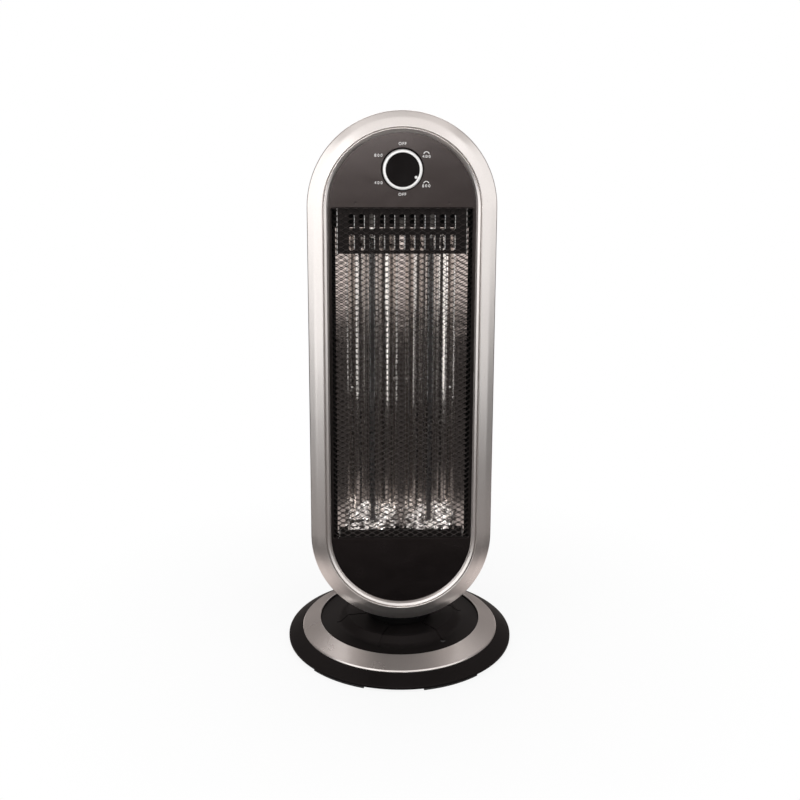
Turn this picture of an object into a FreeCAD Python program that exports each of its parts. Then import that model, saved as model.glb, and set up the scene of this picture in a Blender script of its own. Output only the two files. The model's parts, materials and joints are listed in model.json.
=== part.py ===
"""Upright carbon fibre heater on a round swivel base, built as separate pieces.

Millimetres, +Z up. The origin is the middle of the base on the floor, and the grille faces -Y.
The upright is drawn straight (x right, y from the front plane into the case, z up from its lowest
edge) and leant back as one. Base, neck and swivel drive are drawn where they stand.
"""
import FreeCAD
import Part
import math
import os
from FreeCAD import Placement, Rotation, Vector

# Upright as a whole
FRAME_WIDTH = 200.0
FRAME_HEIGHT = 562.0
FRAME_DEPTH = 20.0
LEAN = 5.0
FLOOR_GAP = 43.0
FORWARD = 50.0

# Front frame section, from the outer edge in
BAND_WIDTH = 16.6
BAND_FALL = 7.5
BAND_EDGE = 2.0
BAND_CROWN = 24.0
BAND_RIDGE = 0.9
GROOVE_WIDTH = 1.3
GROOVE_DEPTH = 1.2
LIP_WIDTH = 5.8
LIP_FLAT = 0.5
LIP_BEVEL = 2.2
LIP_DROP = 0.6
LIP_BEND = 1.8
LIP_FALL = 3.9
LIP_EDGE = 1.1
FRAME_WALL = 2.4
FRAME_DRAFT = 0.6

# Front panel and its window
PANEL_LAP = 2.2
PANEL_THICKNESS = 2.5
WINDOW_RAIL = 2.4
WINDOW_DROP = 3.0
WINDOW_CORNER = 3.0
WINDOW_BEVEL = 0.8
BOSS_RADIUS = 3.5
BOSS_HEIGHT = 2.5
BOSS_SPREAD = 49.0
BOSS_OUTSET = 5.0
SINK_RADIUS = 1.8
SINK_DEPTH = 0.3

# Expanded metal guard
GUARD_THICKNESS = 1.0
GUARD_LAP = 1.2
MESH_COLUMNS = 5
MESH_ROWS = 22
MESH_STRAND = 2.6

# Heat shields, reflector and end plates, all of one sheet
SHEET = 0.8
SHIELD_MARGIN = 5.7
SHIELD_DEPTH = 6.0
SHIELD_HEIGHT = 48.5
SHIELD_TAB = 10.0
SHIELD_BEND = 2.0
SILL_HEIGHT = 8.5
SLOT_COUNT = 11
SLOT_PITCH = 10.65
SLOT_WIDTH = 5.5
SLOT_LENGTH = 17.0
SLOT_ROWS = (14.8, 36.6)
REFLECTOR_FLANGE = 10.5
TROUGH_DEPTH = 18.0
TROUGH_FACETS = 6
RIDGE_HALF = 4.0
FLANGE_SPARE = 1.0
REFLECTOR_SET_IN = 4.0
REFLECTOR_SET_DOWN = 22.0

# Heating tubes
TUBE_RADIUS = 6.0
TUBE_WALL = 1.0
TUBE_STANDOFF = 10.0
CAP_RADIUS = 8.5
CAP_LENGTH = 14.0
CAP_NECK = 7.2
CAP_REACH = 4.0
TUBE_SOCKET = 10.0
RIBBON_WIDTH = 4.6
RIBBON_THICKNESS = 1.2
LEAD_RADIUS = 0.8
LEAD_LENGTH = 22.0

# Control knob and switch
KNOB_RISE = 40.0
KNOB_RADIUS = 20.6
KNOB_RING = 3.1
KNOB_HEIGHT = 12.7
KNOB_WALL = 1.8
KNOB_DISH = 1.0
KNOB_RECESS = 1.5
KNOB_GAP = 1.2
POINTER_ANGLE = 119.0
POINTER_RADIUS = 1.6
SHAFT_RADIUS = 3.0
SWITCH_SIZE = 34.0
SWITCH_DEPTH = 18.0
SWITCH_TAB = 7.0
SWITCH_TAB_PITCH = 10.0

# Rear case
CASE_DEPTH = 90.0
CASE_INSET = 1.4
CASE_TAPER = 0.2
CASE_ROUND = 18.0
CASE_WALL = 2.5
CASE_SEAM = 0.2
SPIGOT_LENGTH = 6.0
VENT_LENGTH = 100.0
VENT_HEIGHT = 4.0
VENT_PITCH = 9.0
VENT_COUNT = 8
VENT_INSET = 30.0
GRIP_LENGTH = 100.0
GRIP_HEIGHT = 28.0
GRIP_DEPTH = 24.0
GRIP_RISE = 24.0
SCREW_INSET = 15.0
SCREW_TILT = 5.0
WELL_RADIUS = 4.6
SCREW_RADIUS = 1.9
SCREW_HEAD = 3.9
GLAND_DROP = 56.0
GLAND_BORE = 3.6

# Base
BASE_RADIUS = 129.0
BASE_RIM = 5.6
SKIRT_SLOPE = 0.58
BASE_WALL = 2.4
RING_MARGIN = 16.2
RING_WIDTH = 20.7
RING_SLOPE = 0.46
RING_SEAT = 1.2
RING_PROUD = 0.8
RING_BEVEL = 1.1
RING_GAP = 0.6
DISC_DROP = 2.1
HUB_RADIUS = 61.0
HUB_SLANT = 9.0
HUB_HEIGHT = 8.0
LINE_COUNT = 6
LINE_TURN = 10.0
LINE_INNER = 39.0
LINE_REACH = 4.0
LINE_WIDTH = 1.8
LINE_DEPTH = 0.8
FOOT_HEIGHT = 3.0
FOOT_COUNT = 6
FOOT_ARC = 30.0
FOOT_TURN = 55.5
FOOT_LENGTH = 13.0
FOOT_INSET = 1.0
PLATE_THICKNESS = 2.0
BALLAST_INNER = 66.0
BALLAST_MARGIN = 25.0
BALLAST_HEIGHT = 3.5
BASE_SCREWS = 6
BASE_SCREW_CIRCLE = 52.0
BASE_SCREW_REACH = 8.0
PLUNGER_MARGIN = 45.0
PLUNGER_RADIUS = 4.0
PLUNGER_TRAVEL = 4.0
TIP_WIDTH = 24.0
TIP_LENGTH = 18.0
TIP_HEIGHT = 11.0

# Swivel
POST_RADIUS = 11.0
POST_BORE = 8.0
POST_FLANGE = 30.0
BUSH_WALL = 4.0
SLEEVE_WALL = 3.0
SLEEVE_TOP = 82.0
NECK_RADIUS = 37.5
NECK_FOOT = 36.5
SWING = 30.0
MOTOR_OFFSET = 36.0
MOTOR_RADIUS = 25.0
MOTOR_HEIGHT = 16.0
MOTOR_SHAFT = 3.5
PIN_RADIUS = 3.5
ARM_THICKNESS = 3.0
CHASSIS_LEG = 4.0
CHASSIS_WIDTH = 42.0
CHASSIS_REACH = 48.0
SLEEVE_FLANGE = 10.0

# Wiring
WIRE_RADIUS = 1.2
WIRE_BEND = 4.0
TERMINAL_PITCH = 5.6
TERMINAL_WELL = 6.0
TERMINAL_WIDTH = 18.0
TERMINAL_COUNT = 4

# Clearances
FIT = 0.3
RUN = 0.1
PRESS = 0.05

# Places that follow from the sizes above
EDGE = FRAME_WIDTH / 2
LOW_CENTRE = EDGE
HIGH_CENTRE = FRAME_HEIGHT - EDGE
RIDGE = EDGE - BAND_WIDTH
OPENING = RIDGE - LIP_WIDTH
LIP_SLOPE = LIP_WIDTH - GROOVE_WIDTH - LIP_FLAT - LIP_BEVEL
PANEL_FRONT = LIP_FALL + LIP_EDGE
PANEL_BACK = PANEL_FRONT + PANEL_THICKNESS
WINDOW_HALF = OPENING - WINDOW_RAIL
WINDOW_LOW = LOW_CENTRE - WINDOW_DROP
WINDOW_HIGH = HIGH_CENTRE
SHIELD_HALF = WINDOW_HALF - SHIELD_MARGIN
BOSS_LOW = WINDOW_LOW - BOSS_OUTSET
BOSS_HIGH = WINDOW_HIGH + BOSS_OUTSET
SHIELD_FRONT = PANEL_BACK + BOSS_HEIGHT
FLANGE_FRONT = SHIELD_FRONT + SHIELD_DEPTH
REFLECTOR_LOW = WINDOW_LOW + REFLECTOR_SET_IN
REFLECTOR_HIGH = WINDOW_HIGH - REFLECTOR_SET_DOWN
TROUGH_WIDTH = SHIELD_HALF - REFLECTOR_FLANGE - RIDGE_HALF
TUBE_SIDE = RIDGE_HALF + TROUGH_WIDTH / 2
TUBE_DEPTH = FLANGE_FRONT + TROUGH_DEPTH - TUBE_STANDOFF
TUBE_LOW = REFLECTOR_LOW - SHEET - TUBE_SOCKET
TUBE_HIGH = REFLECTOR_HIGH + SHEET + TUBE_SOCKET
KNOB_PLACE = HIGH_CENTRE + KNOB_RISE
KNOB_BACK = PANEL_FRONT + KNOB_RECESS - 0.5
KNOB_FRONT = KNOB_BACK - KNOB_HEIGHT
DIAL_RADIUS = KNOB_RADIUS - KNOB_RING
DIAL_FRONT = KNOB_FRONT + KNOB_DISH
CASE_FRONT = FRAME_DEPTH + CASE_SEAM
CASE_EDGE = EDGE - CASE_INSET
SCREW_CIRCLE = EDGE - SCREW_INSET
GRIP_PLACE = HIGH_CENTRE + GRIP_RISE
GLAND_PLACE = LOW_CENTRE - GLAND_DROP
SPIGOT_BACK = CASE_FRONT + 3.8
POST_END = CASE_FRONT + 3.3
WELL_FLOOR = POST_END + 3.5
PLATE_TOP = FOOT_HEIGHT + PLATE_THICKNESS
RING_OUTER = BASE_RADIUS - RING_MARGIN
RING_INNER = RING_OUTER - RING_WIDTH
BALLAST_OUTER = BASE_RADIUS - BALLAST_MARGIN
PLUNGER_PLACE = BASE_RADIUS - PLUNGER_MARGIN
DISC_TOP = BASE_RIM + RING_MARGIN * SKIRT_SLOPE + RING_WIDTH * RING_SLOPE - DISC_DROP
HUB_TOP = DISC_TOP + HUB_HEIGHT
HUB_FOOT = HUB_RADIUS + HUB_SLANT
WASHER_TOP = HUB_TOP + 1.5
BUSH_LOW = WASHER_TOP + FIT
SLEEVE_LOW = BUSH_LOW + 2.0
BUSH_RADIUS = POST_RADIUS + BUSH_WALL
SLEEVE_RADIUS = BUSH_RADIUS + SLEEVE_WALL
RETAINER_LOW = SLEEVE_TOP + 2.0 + FIT
ARM_LOW = RETAINER_LOW + 4.0
ARM_TOP = ARM_LOW + ARM_THICKNESS
POST_TOP = ARM_TOP + 0.5
CRANK_LOW = ARM_TOP + 1.5
CRANK_TOP = CRANK_LOW + 3.0
CHASSIS_LOW = CRANK_TOP + 0.7
CHASSIS_TOP = CHASSIS_LOW + 2.0
TERMINAL_START = 2.0 - CHASSIS_REACH
CRANK_THROW = MOTOR_OFFSET * math.sin(math.radians(SWING))
ARM_END = MOTOR_OFFSET + CRANK_THROW

X_AXIS = Vector(1, 0, 0)
Y_AXIS = Vector(0, 1, 0)
Z_AXIS = Vector(0, 0, 1)
ORIGIN = Vector(0, 0, 0)
UPRIGHT = Placement(Vector(0, -FORWARD, FLOOR_GAP), Rotation(X_AXIS, -LEAN))


def lean(shape):
    """The shape, drawn straight, moved to where the leaning upright has it."""
    moved = shape.copy()
    moved.Placement = UPRIGHT.multiply(moved.Placement)
    return moved


def block(x, y, z):
    """A box from three (low, high) pairs."""
    return Part.makeBox(x[1] - x[0], y[1] - y[0], z[1] - z[0], Vector(x[0], y[0], z[0]))


def rod_y(radius, x, z, y0, y1):
    return Part.makeCylinder(radius, y1 - y0, Vector(x, y0, z), Y_AXIS)


def rod_z(radius, x, y, z0, z1):
    return Part.makeCylinder(radius, z1 - z0, Vector(x, y, z0), Z_AXIS)


def pipe_z(outer, inner, x, y, z0, z1):
    return rod_z(outer, x, y, z0, z1).cut(rod_z(inner, x, y, z0, z1))


def mirrored(shape):
    return shape.mirror(ORIGIN, X_AXIS)


def fused(shapes):
    return shapes[0].multiFuse(shapes[1:]).removeSplitter()


def flat(a, b):
    return Vector(a, b, 0)


def upright(a, b):
    return Vector(a, 0, b)


def rounded_wire(corners, place):
    """A closed wire through corners (a, b, corner radius), put in space by place(a, b)."""
    arcs = []
    count = len(corners)
    for i, (a, b, radius) in enumerate(corners):
        here = Vector(a, b, 0)
        before = Vector(*corners[i - 1][:2], 0) - here
        after = Vector(*corners[(i + 1) % count][:2], 0) - here
        before.normalize()
        after.normalize()
        half = before.getAngle(after) / 2
        reach = radius / math.tan(half)
        middle = before + after
        if radius > 0:
            middle.normalize()
        crest = here + middle * (radius / math.sin(half) - radius)
        arcs.append((here + before * reach, crest, here + after * reach, radius))
    edges = []
    for i, (start, crest, end, radius) in enumerate(arcs):
        points = [place(p.x, p.y) for p in (start, crest, end)]
        if radius > 0:
            edges.append(Part.Arc(*points).toShape())
        following = arcs[(i + 1) % count][0]
        goal = place(following.x, following.y)
        if points[2].distanceToPoint(goal) > 1e-6:
            edges.append(Part.makeLine(points[2], goal))
    return Part.Wire(edges)


def spun(corners):
    """A body turned about +Z from a closed (radius, height) section."""
    return Part.Face(rounded_wire(corners, upright)).revolve(ORIGIN, Z_AXIS, 360)


def spun_y(corners, z):
    """A body turned about a +Y axis at height z from a closed (radius, depth) section."""
    body = Part.Face(rounded_wire(corners, flat)).revolve(ORIGIN, Y_AXIS, 360)
    return body.translated(Vector(0, 0, z))


def racetrack(corners):
    """A body swept round the frame's outline from a closed (distance from its spine, depth) section."""
    section = Part.Face(rounded_wire(corners, flat))
    low = section.translated(Vector(0, 0, LOW_CENTRE))
    high = section.translated(Vector(0, 0, HIGH_CENTRE))
    side = low.extrude(Vector(0, 0, HIGH_CENTRE - LOW_CENTRE))
    crown = high.revolve(Vector(0, 0, HIGH_CENTRE), Vector(0, -1, 0), 180)
    foot = low.revolve(Vector(0, 0, LOW_CENTRE), Y_AXIS, 180)
    return fused([side, mirrored(side), crown, foot])


def rectangle_wire(half, low, high, corner, y):
    corners = [(-half, low, corner), (half, low, corner), (half, high, corner), (-half, high, corner)]
    return rounded_wire(corners, lambda a, b: Vector(a, y, b))


def slab(half, low, high, corner, y0, y1):
    """A round-cornered plate that faces along y."""
    return Part.Face(rectangle_wire(half, low, high, corner, y0)).extrude(Vector(0, y1 - y0, 0))


def slot_cutter(x, z, length_x, length_z, y0, y1):
    """A round-ended slot through y0 to y1, the longer of its two lengths setting its direction."""
    corner = min(length_x, length_z) / 2 - 0.01
    return slab(length_x / 2, -length_z / 2, length_z / 2, corner, y0, y1).translated(Vector(x, 0, z))


def screw_places():
    """Where the case screws stand: one at each side and one on each quarter of the two ends."""
    across = SCREW_CIRCLE * math.cos(math.radians(SCREW_TILT))
    along = SCREW_CIRCLE * math.sin(math.radians(SCREW_TILT))
    low = (across, LOW_CENTRE - along)
    middle = (SCREW_CIRCLE, FRAME_HEIGHT / 2)
    high = (across, HIGH_CENTRE + along)
    return [(side * x, z) for x, z in (low, middle, high) for side in (-1, 1)]


def boss_places():
    return [(side * BOSS_SPREAD, z) for z in (BOSS_LOW, BOSS_HIGH) for side in (-1, 1)]


def front_frame():
    """The silver surround: a crowned band, a fine groove and a lip of two bevels down to the panel."""
    section = [
        (OPENING, LIP_FALL, 0.4),
        (OPENING + LIP_SLOPE, LIP_BEND, 0.6),
        (OPENING + LIP_SLOPE + LIP_BEVEL, LIP_DROP, 0.5),
        (RIDGE - GROOVE_WIDTH, LIP_DROP, 0.2),
        (RIDGE - GROOVE_WIDTH / 2, LIP_DROP + GROOVE_DEPTH, 0),
        (RIDGE, 0, BAND_RIDGE),
        (RIDGE + 0.55 * BAND_WIDTH, 0.46 * BAND_FALL, BAND_CROWN),
        (EDGE, BAND_FALL, BAND_EDGE),
        (EDGE - FRAME_DRAFT, FRAME_DEPTH, 0),
        (EDGE - FRAME_DRAFT - FRAME_WALL, FRAME_DEPTH, 0),
        (EDGE - FRAME_WALL, BAND_FALL + FRAME_WALL, 0),
        (RIDGE + 1.5, FRAME_WALL + 0.5, 0),
        (OPENING + PANEL_LAP + FIT, PANEL_FRONT, 0),
        (OPENING, PANEL_FRONT, 0),
    ]
    frame = racetrack(section)
    posts = [rod_y(4.5, x, z, 2.2, POST_END) for x, z in screw_places()]
    pilots = [rod_y(SCREW_RADIUS + PRESS, x, z, POST_END - 15, POST_END + 1) for x, z in screw_places()]
    return frame.multiFuse(posts).cut(pilots)


def window_wire(grow, y):
    """The window's outline, grown on all sides, at a depth."""
    low = WINDOW_LOW - grow
    high = WINDOW_HIGH + grow
    return rectangle_wire(WINDOW_HALF + grow, low, high, WINDOW_CORNER + grow, y)


def sink_marks():
    """Shallow hollows on the panel's face over its bosses, where the moulding draws in as it cools."""
    ball = (SINK_RADIUS ** 2 + SINK_DEPTH ** 2) / (2 * SINK_DEPTH)
    return [Part.makeSphere(ball, Vector(x, PANEL_FRONT + SINK_DEPTH - ball, z)) for x, z in boss_places()]


def front_panel():
    """The black panel behind the lip, open over the heating tubes, with four bosses on its back."""
    half = OPENING + PANEL_LAP
    panel = racetrack([
        (0, PANEL_FRONT, 0),
        (half, PANEL_FRONT, 0),
        (half, PANEL_BACK, 0),
        (0, PANEL_BACK, 0),
    ])
    bosses = [rod_y(BOSS_RADIUS, x, z, PANEL_FRONT + 1, SHIELD_FRONT) for x, z in boss_places()]
    wide = window_wire(WINDOW_BEVEL, PANEL_FRONT)
    narrow = window_wire(0, PANEL_FRONT + WINDOW_BEVEL)
    bevel = Part.makeLoft([wide, narrow], True, True)
    opening = Part.Face(narrow).extrude(Vector(0, PANEL_THICKNESS, 0))
    recess = rod_y(KNOB_RADIUS + KNOB_GAP, 0, KNOB_PLACE, PANEL_FRONT - 1, PANEL_FRONT + KNOB_RECESS)
    bush_hole = rod_y(SHAFT_RADIUS + 1.5 + FIT, 0, KNOB_PLACE, PANEL_FRONT - 1, PANEL_BACK + 1)
    pilots = [rod_y(1.4 + PRESS, x, z, PANEL_BACK - 1, SHIELD_FRONT + 1) for x, z in boss_places()]
    return panel.multiFuse(bosses).cut([opening, bevel, recess, bush_hole] + pilots + sink_marks())


def diamond(x, z, reach_x, reach_z, half, low, high):
    """One opening of the mesh, halved where it meets the edge of the guard's border."""
    points = [(x - reach_x, z), (x, z + reach_z), (x + reach_x, z), (x, z - reach_z)]
    kept = [(a, b) for a, b in points if abs(a) < half + FIT and low - FIT < b < high + FIT]
    if len(kept) == 2:
        kept.append((x, z))
    return Part.makePolygon([Vector(a, PANEL_BACK, b) for a, b in kept + kept[:1]])


def mesh_guard():
    """Expanded metal sheet held behind the panel: rows of diamonds, every other row set half a step."""
    half = WINDOW_HALF - 0.6
    low = WINDOW_LOW + 0.6
    high = WINDOW_HIGH - 0.6
    long_way = 2 * half / MESH_COLUMNS
    short_way = (high - low) / MESH_ROWS
    across = long_way * short_way / math.hypot(long_way, short_way)
    share = (1 - MESH_STRAND / across) / 2
    reach_x = long_way * share
    reach_z = short_way * share
    holes = []
    for i in range(2 * MESH_COLUMNS + 1):
        for j in range(2 * MESH_ROWS + 1):
            if (i + j) % 2 == 0:
                x = -half + i * long_way / 2
                z = low + j * short_way / 2
                holes.append(diamond(x, z, reach_x, reach_z, half, low, high))
    rim = window_wire(GUARD_LAP, PANEL_BACK)
    return Part.Face([rim] + holes).extrude(Vector(0, GUARD_THICKNESS, 0))


def channel(low, high):
    """A sheet folded at both sides into a shallow channel, its face to the front."""
    inner = SHIELD_HALF - SHEET
    fold = SHIELD_BEND - SHEET
    section = [
        (-SHIELD_HALF, FLANGE_FRONT, 0),
        (-SHIELD_HALF, SHIELD_FRONT, SHIELD_BEND),
        (SHIELD_HALF, SHIELD_FRONT, SHIELD_BEND),
        (SHIELD_HALF, FLANGE_FRONT, 0),
        (inner, FLANGE_FRONT, 0),
        (inner, SHIELD_FRONT + SHEET, fold),
        (-inner, SHIELD_FRONT + SHEET, fold),
        (-inner, FLANGE_FRONT, 0),
    ]
    face = Part.Face(rounded_wire(section, flat)).translated(Vector(0, 0, low))
    return face.extrude(Vector(0, 0, high - low))


def shield(low, high, tab_low, tab_high):
    """A folded plate in front of the tube ends, with a tab to the panel's bosses."""
    tab_half = BOSS_SPREAD + 8
    tab = block((-tab_half, tab_half), (SHIELD_FRONT, SHIELD_FRONT + SHEET), (tab_low, tab_high))
    body = fused([channel(low, high), tab])
    return body.cut([rod_y(1.4 + FIT, x, z, SHIELD_FRONT - 1, FLANGE_FRONT) for x, z in boss_places()])


def heat_shield():
    body = shield(WINDOW_HIGH - SHIELD_HEIGHT, WINDOW_HIGH, WINDOW_HIGH - 1, WINDOW_HIGH + SHIELD_TAB)
    slots = []
    for drop in SLOT_ROWS:
        z = WINDOW_HIGH - drop
        for i in range(SLOT_COUNT):
            x = (i - (SLOT_COUNT - 1) / 2) * SLOT_PITCH
            slots.append(slot_cutter(x, z, SLOT_WIDTH, SLOT_LENGTH, SHIELD_FRONT - 1, SHIELD_FRONT + 2))
    return body.cut(slots)


def lower_shield():
    return shield(WINDOW_LOW, WINDOW_LOW + SILL_HEIGHT, WINDOW_LOW - SHIELD_TAB, WINDOW_LOW + 1)


def shield_screws():
    """Pan screws that hold both shields to the panel's bosses."""
    screws = []
    back = SHIELD_FRONT + SHEET
    for x, z in boss_places():
        shank = rod_y(1.4, x, z, PANEL_BACK - 0.8, back)
        screws.append(fused([shank, rod_y(2.9, x, z, back, back + 2)]))
    return Part.makeCompound(screws)


def trough_points():
    """One trough of the reflector as bend lines on a parabola, from its outer edge to the ridge."""
    points = []
    for i in range(TROUGH_FACETS + 1):
        s = 2 * i / TROUGH_FACETS - 1
        points.append((TUBE_SIDE - s * TROUGH_WIDTH / 2, FLANGE_FRONT + TROUGH_DEPTH * (1 - s * s)))
    return points


def reflector():
    """Polished sheet bent into two parabolic troughs, one behind each tube, with a flange each side."""
    right = [(SHIELD_HALF + FLANGE_SPARE, FLANGE_FRONT)] + trough_points()
    left = [(-x, y) for x, y in reversed(right)]
    line = Part.makePolygon([Vector(x, y, REFLECTOR_LOW) for x, y in right + left])
    band = line.makeOffset2D(SHEET, 2, True, True)
    if band.BoundBox.YMin < FLANGE_FRONT - SHEET / 2:
        band = line.makeOffset2D(-SHEET, 2, True, True)
    return band.extrude(Vector(0, 0, REFLECTOR_HIGH - REFLECTOR_LOW))


def end_plate(z):
    """The flat sheet that closes both troughs at one end and carries the tubes' ceramic caps."""
    half = SHIELD_HALF + FLANGE_SPARE
    plate = block((-half, half), (FLANGE_FRONT, FLANGE_FRONT + TROUGH_DEPTH + 2), (z, z + SHEET))
    hole = rod_z(CAP_NECK + FIT, TUBE_SIDE, TUBE_DEPTH, z - 1, z + 2)
    return plate.cut([hole, mirrored(hole)])


def upper_end_plate():
    return end_plate(REFLECTOR_HIGH)


def lower_end_plate():
    return end_plate(REFLECTOR_LOW - SHEET)


def ceramic_cap(outside, direction):
    """A cap whose collar bears on the outer face of an end plate and whose neck reaches in through it."""
    base = Vector(TUBE_SIDE, TUBE_DEPTH, outside)
    inward = Vector(0, 0, direction)
    collar = Part.makeCylinder(CAP_RADIUS, CAP_LENGTH, base - inward * CAP_LENGTH, inward)
    neck = Part.makeCylinder(CAP_NECK, CAP_REACH, base, inward)
    depth = CAP_REACH + TUBE_SOCKET
    socket = Part.makeCylinder(TUBE_RADIUS + FIT, depth, base + inward * (CAP_REACH - depth), inward)
    return fused([collar, neck]).cut(socket)


def tube_caps():
    low = ceramic_cap(REFLECTOR_LOW - SHEET, 1)
    high = ceramic_cap(REFLECTOR_HIGH + SHEET, -1)
    return Part.makeCompound([low, mirrored(low), high, mirrored(high)])


def cap_clips():
    """Spring washers on the caps' necks, against the inner face of each end plate."""
    inner = CAP_NECK + PRESS
    top = REFLECTOR_LOW + SHEET
    low = pipe_z(CAP_RADIUS + 1, inner, TUBE_SIDE, TUBE_DEPTH, REFLECTOR_LOW, top)
    high = low.translated(Vector(0, 0, REFLECTOR_HIGH - REFLECTOR_LOW - SHEET))
    return Part.makeCompound([low, mirrored(low), high, mirrored(high)])


def quartz_tube():
    return pipe_z(TUBE_RADIUS, TUBE_RADIUS - TUBE_WALL, TUBE_SIDE, TUBE_DEPTH, TUBE_LOW, TUBE_HIGH)


def carbon_ribbon():
    x = (TUBE_SIDE - RIBBON_WIDTH / 2, TUBE_SIDE + RIBBON_WIDTH / 2)
    y = (TUBE_DEPTH - RIBBON_THICKNESS / 2, TUBE_DEPTH + RIBBON_THICKNESS / 2)
    return block(x, y, (TUBE_LOW + LEAD_LENGTH, TUBE_HIGH - LEAD_LENGTH))


def filament_leads():
    """Wires from the floor of each cap's socket to the ends of the carbon ribbons."""
    low = rod_z(LEAD_RADIUS, TUBE_SIDE, TUBE_DEPTH, TUBE_LOW, TUBE_LOW + LEAD_LENGTH)
    high = rod_z(LEAD_RADIUS, TUBE_SIDE, TUBE_DEPTH, TUBE_HIGH - LEAD_LENGTH, TUBE_HIGH)
    return Part.makeCompound([low, mirrored(low), high, mirrored(high)])


def thermal_cutout():
    """A bimetal disc cut-out on top of the upper end plate, with two blade tabs."""
    z = REFLECTOR_HIGH + SHEET
    disc = rod_z(8, 0, TUBE_DEPTH, z, z + 4)
    body = rod_z(6.5, 0, TUBE_DEPTH, z + 4, z + 10)
    tab = block((3, 3.8), (TUBE_DEPTH - 2, TUBE_DEPTH + 2), (z + 9, z + 17))
    return fused([disc, body, tab, mirrored(tab)])


def rotary_switch():
    """Switch body behind the panel, its bush standing in the panel's hole round the shaft."""
    half = SWITCH_SIZE / 2
    back = PANEL_BACK + SWITCH_DEPTH
    body = slab(half, KNOB_PLACE - half, KNOB_PLACE + half, 4, PANEL_BACK, back)
    bush = rod_y(SHAFT_RADIUS + 1.5, 0, KNOB_PLACE, PANEL_FRONT + KNOB_RECESS, PANEL_BACK + 1)
    bore = rod_y(SHAFT_RADIUS + RUN, 0, KNOB_PLACE, PANEL_FRONT - 1, PANEL_BACK + 6)
    blade = block((-3, 3), (back - 1, back + SWITCH_TAB), (KNOB_PLACE - 0.4, KNOB_PLACE + 0.4))
    tabs = [blade.translated(Vector(i * SWITCH_TAB_PITCH, 0, 0)) for i in (-1, 0, 1)]
    return fused([body, bush] + tabs).cut(bore)


def switch_shaft():
    return rod_y(SHAFT_RADIUS, 0, KNOB_PLACE, DIAL_FRONT + 3, PANEL_BACK + 5.5)


def knob_dial():
    """The knob's black cup: a flat face, a skirt and a hub on the switch shaft."""
    bore = SHAFT_RADIUS + PRESS
    return spun_y([
        (0, DIAL_FRONT, 0),
        (DIAL_RADIUS, DIAL_FRONT, 0.4),
        (DIAL_RADIUS, KNOB_BACK, 0),
        (DIAL_RADIUS - KNOB_WALL, KNOB_BACK, 0),
        (DIAL_RADIUS - KNOB_WALL, DIAL_FRONT + 2, 0),
        (SHAFT_RADIUS + 3, DIAL_FRONT + 2, 0),
        (SHAFT_RADIUS + 3, KNOB_BACK - 1, 0),
        (bore, KNOB_BACK - 1, 0),
        (bore, DIAL_FRONT + 3, 0),
        (0, DIAL_FRONT + 3, 0),
    ], KNOB_PLACE)


def knob_ring():
    """The silver rim pressed round the dial, rounded over at the front."""
    inner = DIAL_RADIUS + PRESS
    return spun_y([
        (inner, KNOB_FRONT, 0.8),
        (KNOB_RADIUS, KNOB_FRONT, 1.6),
        (KNOB_RADIUS, KNOB_BACK, 0.3),
        (inner, KNOB_BACK, 0),
    ], KNOB_PLACE)


def knob_pointer():
    """A silver bead on the dial's face, against the rim, that shows the setting."""
    turn = math.radians(POINTER_ANGLE)
    reach = DIAL_RADIUS - POINTER_RADIUS - 0.1
    bead = Part.Face(rounded_wire([
        (0, DIAL_FRONT - 1, 0),
        (POINTER_RADIUS, DIAL_FRONT - 1, 0.9),
        (POINTER_RADIUS, DIAL_FRONT, 0),
        (0, DIAL_FRONT, 0),
    ], flat)).revolve(ORIGIN, Y_AXIS, 360)
    return bead.translated(Vector(reach * math.sin(turn), 0, KNOB_PLACE + reach * math.cos(turn)))


def case_body(inset):
    """The rear case's outside, or with an inset the hollow within its walls."""
    back = CASE_DEPTH - inset
    taper = CASE_TAPER * (back - CASE_FRONT)
    return racetrack([
        (0, CASE_FRONT, 0),
        (CASE_EDGE - inset, CASE_FRONT, 0),
        (CASE_EDGE - inset - taper, back, CASE_ROUND - inset),
        (0, back, 0),
    ])


def vent_cutters():
    """Two groups of level slots through the back wall, below and above the middle."""
    low = LOW_CENTRE + VENT_INSET
    high = HIGH_CENTRE - VENT_INSET - (VENT_COUNT - 1) * VENT_PITCH
    rows = [start + i * VENT_PITCH for start in (low, high) for i in range(VENT_COUNT)]
    inside = CASE_DEPTH - CASE_WALL - 1
    return [slot_cutter(0, z, VENT_LENGTH, VENT_HEIGHT, inside, CASE_DEPTH + 1) for z in rows]


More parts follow.
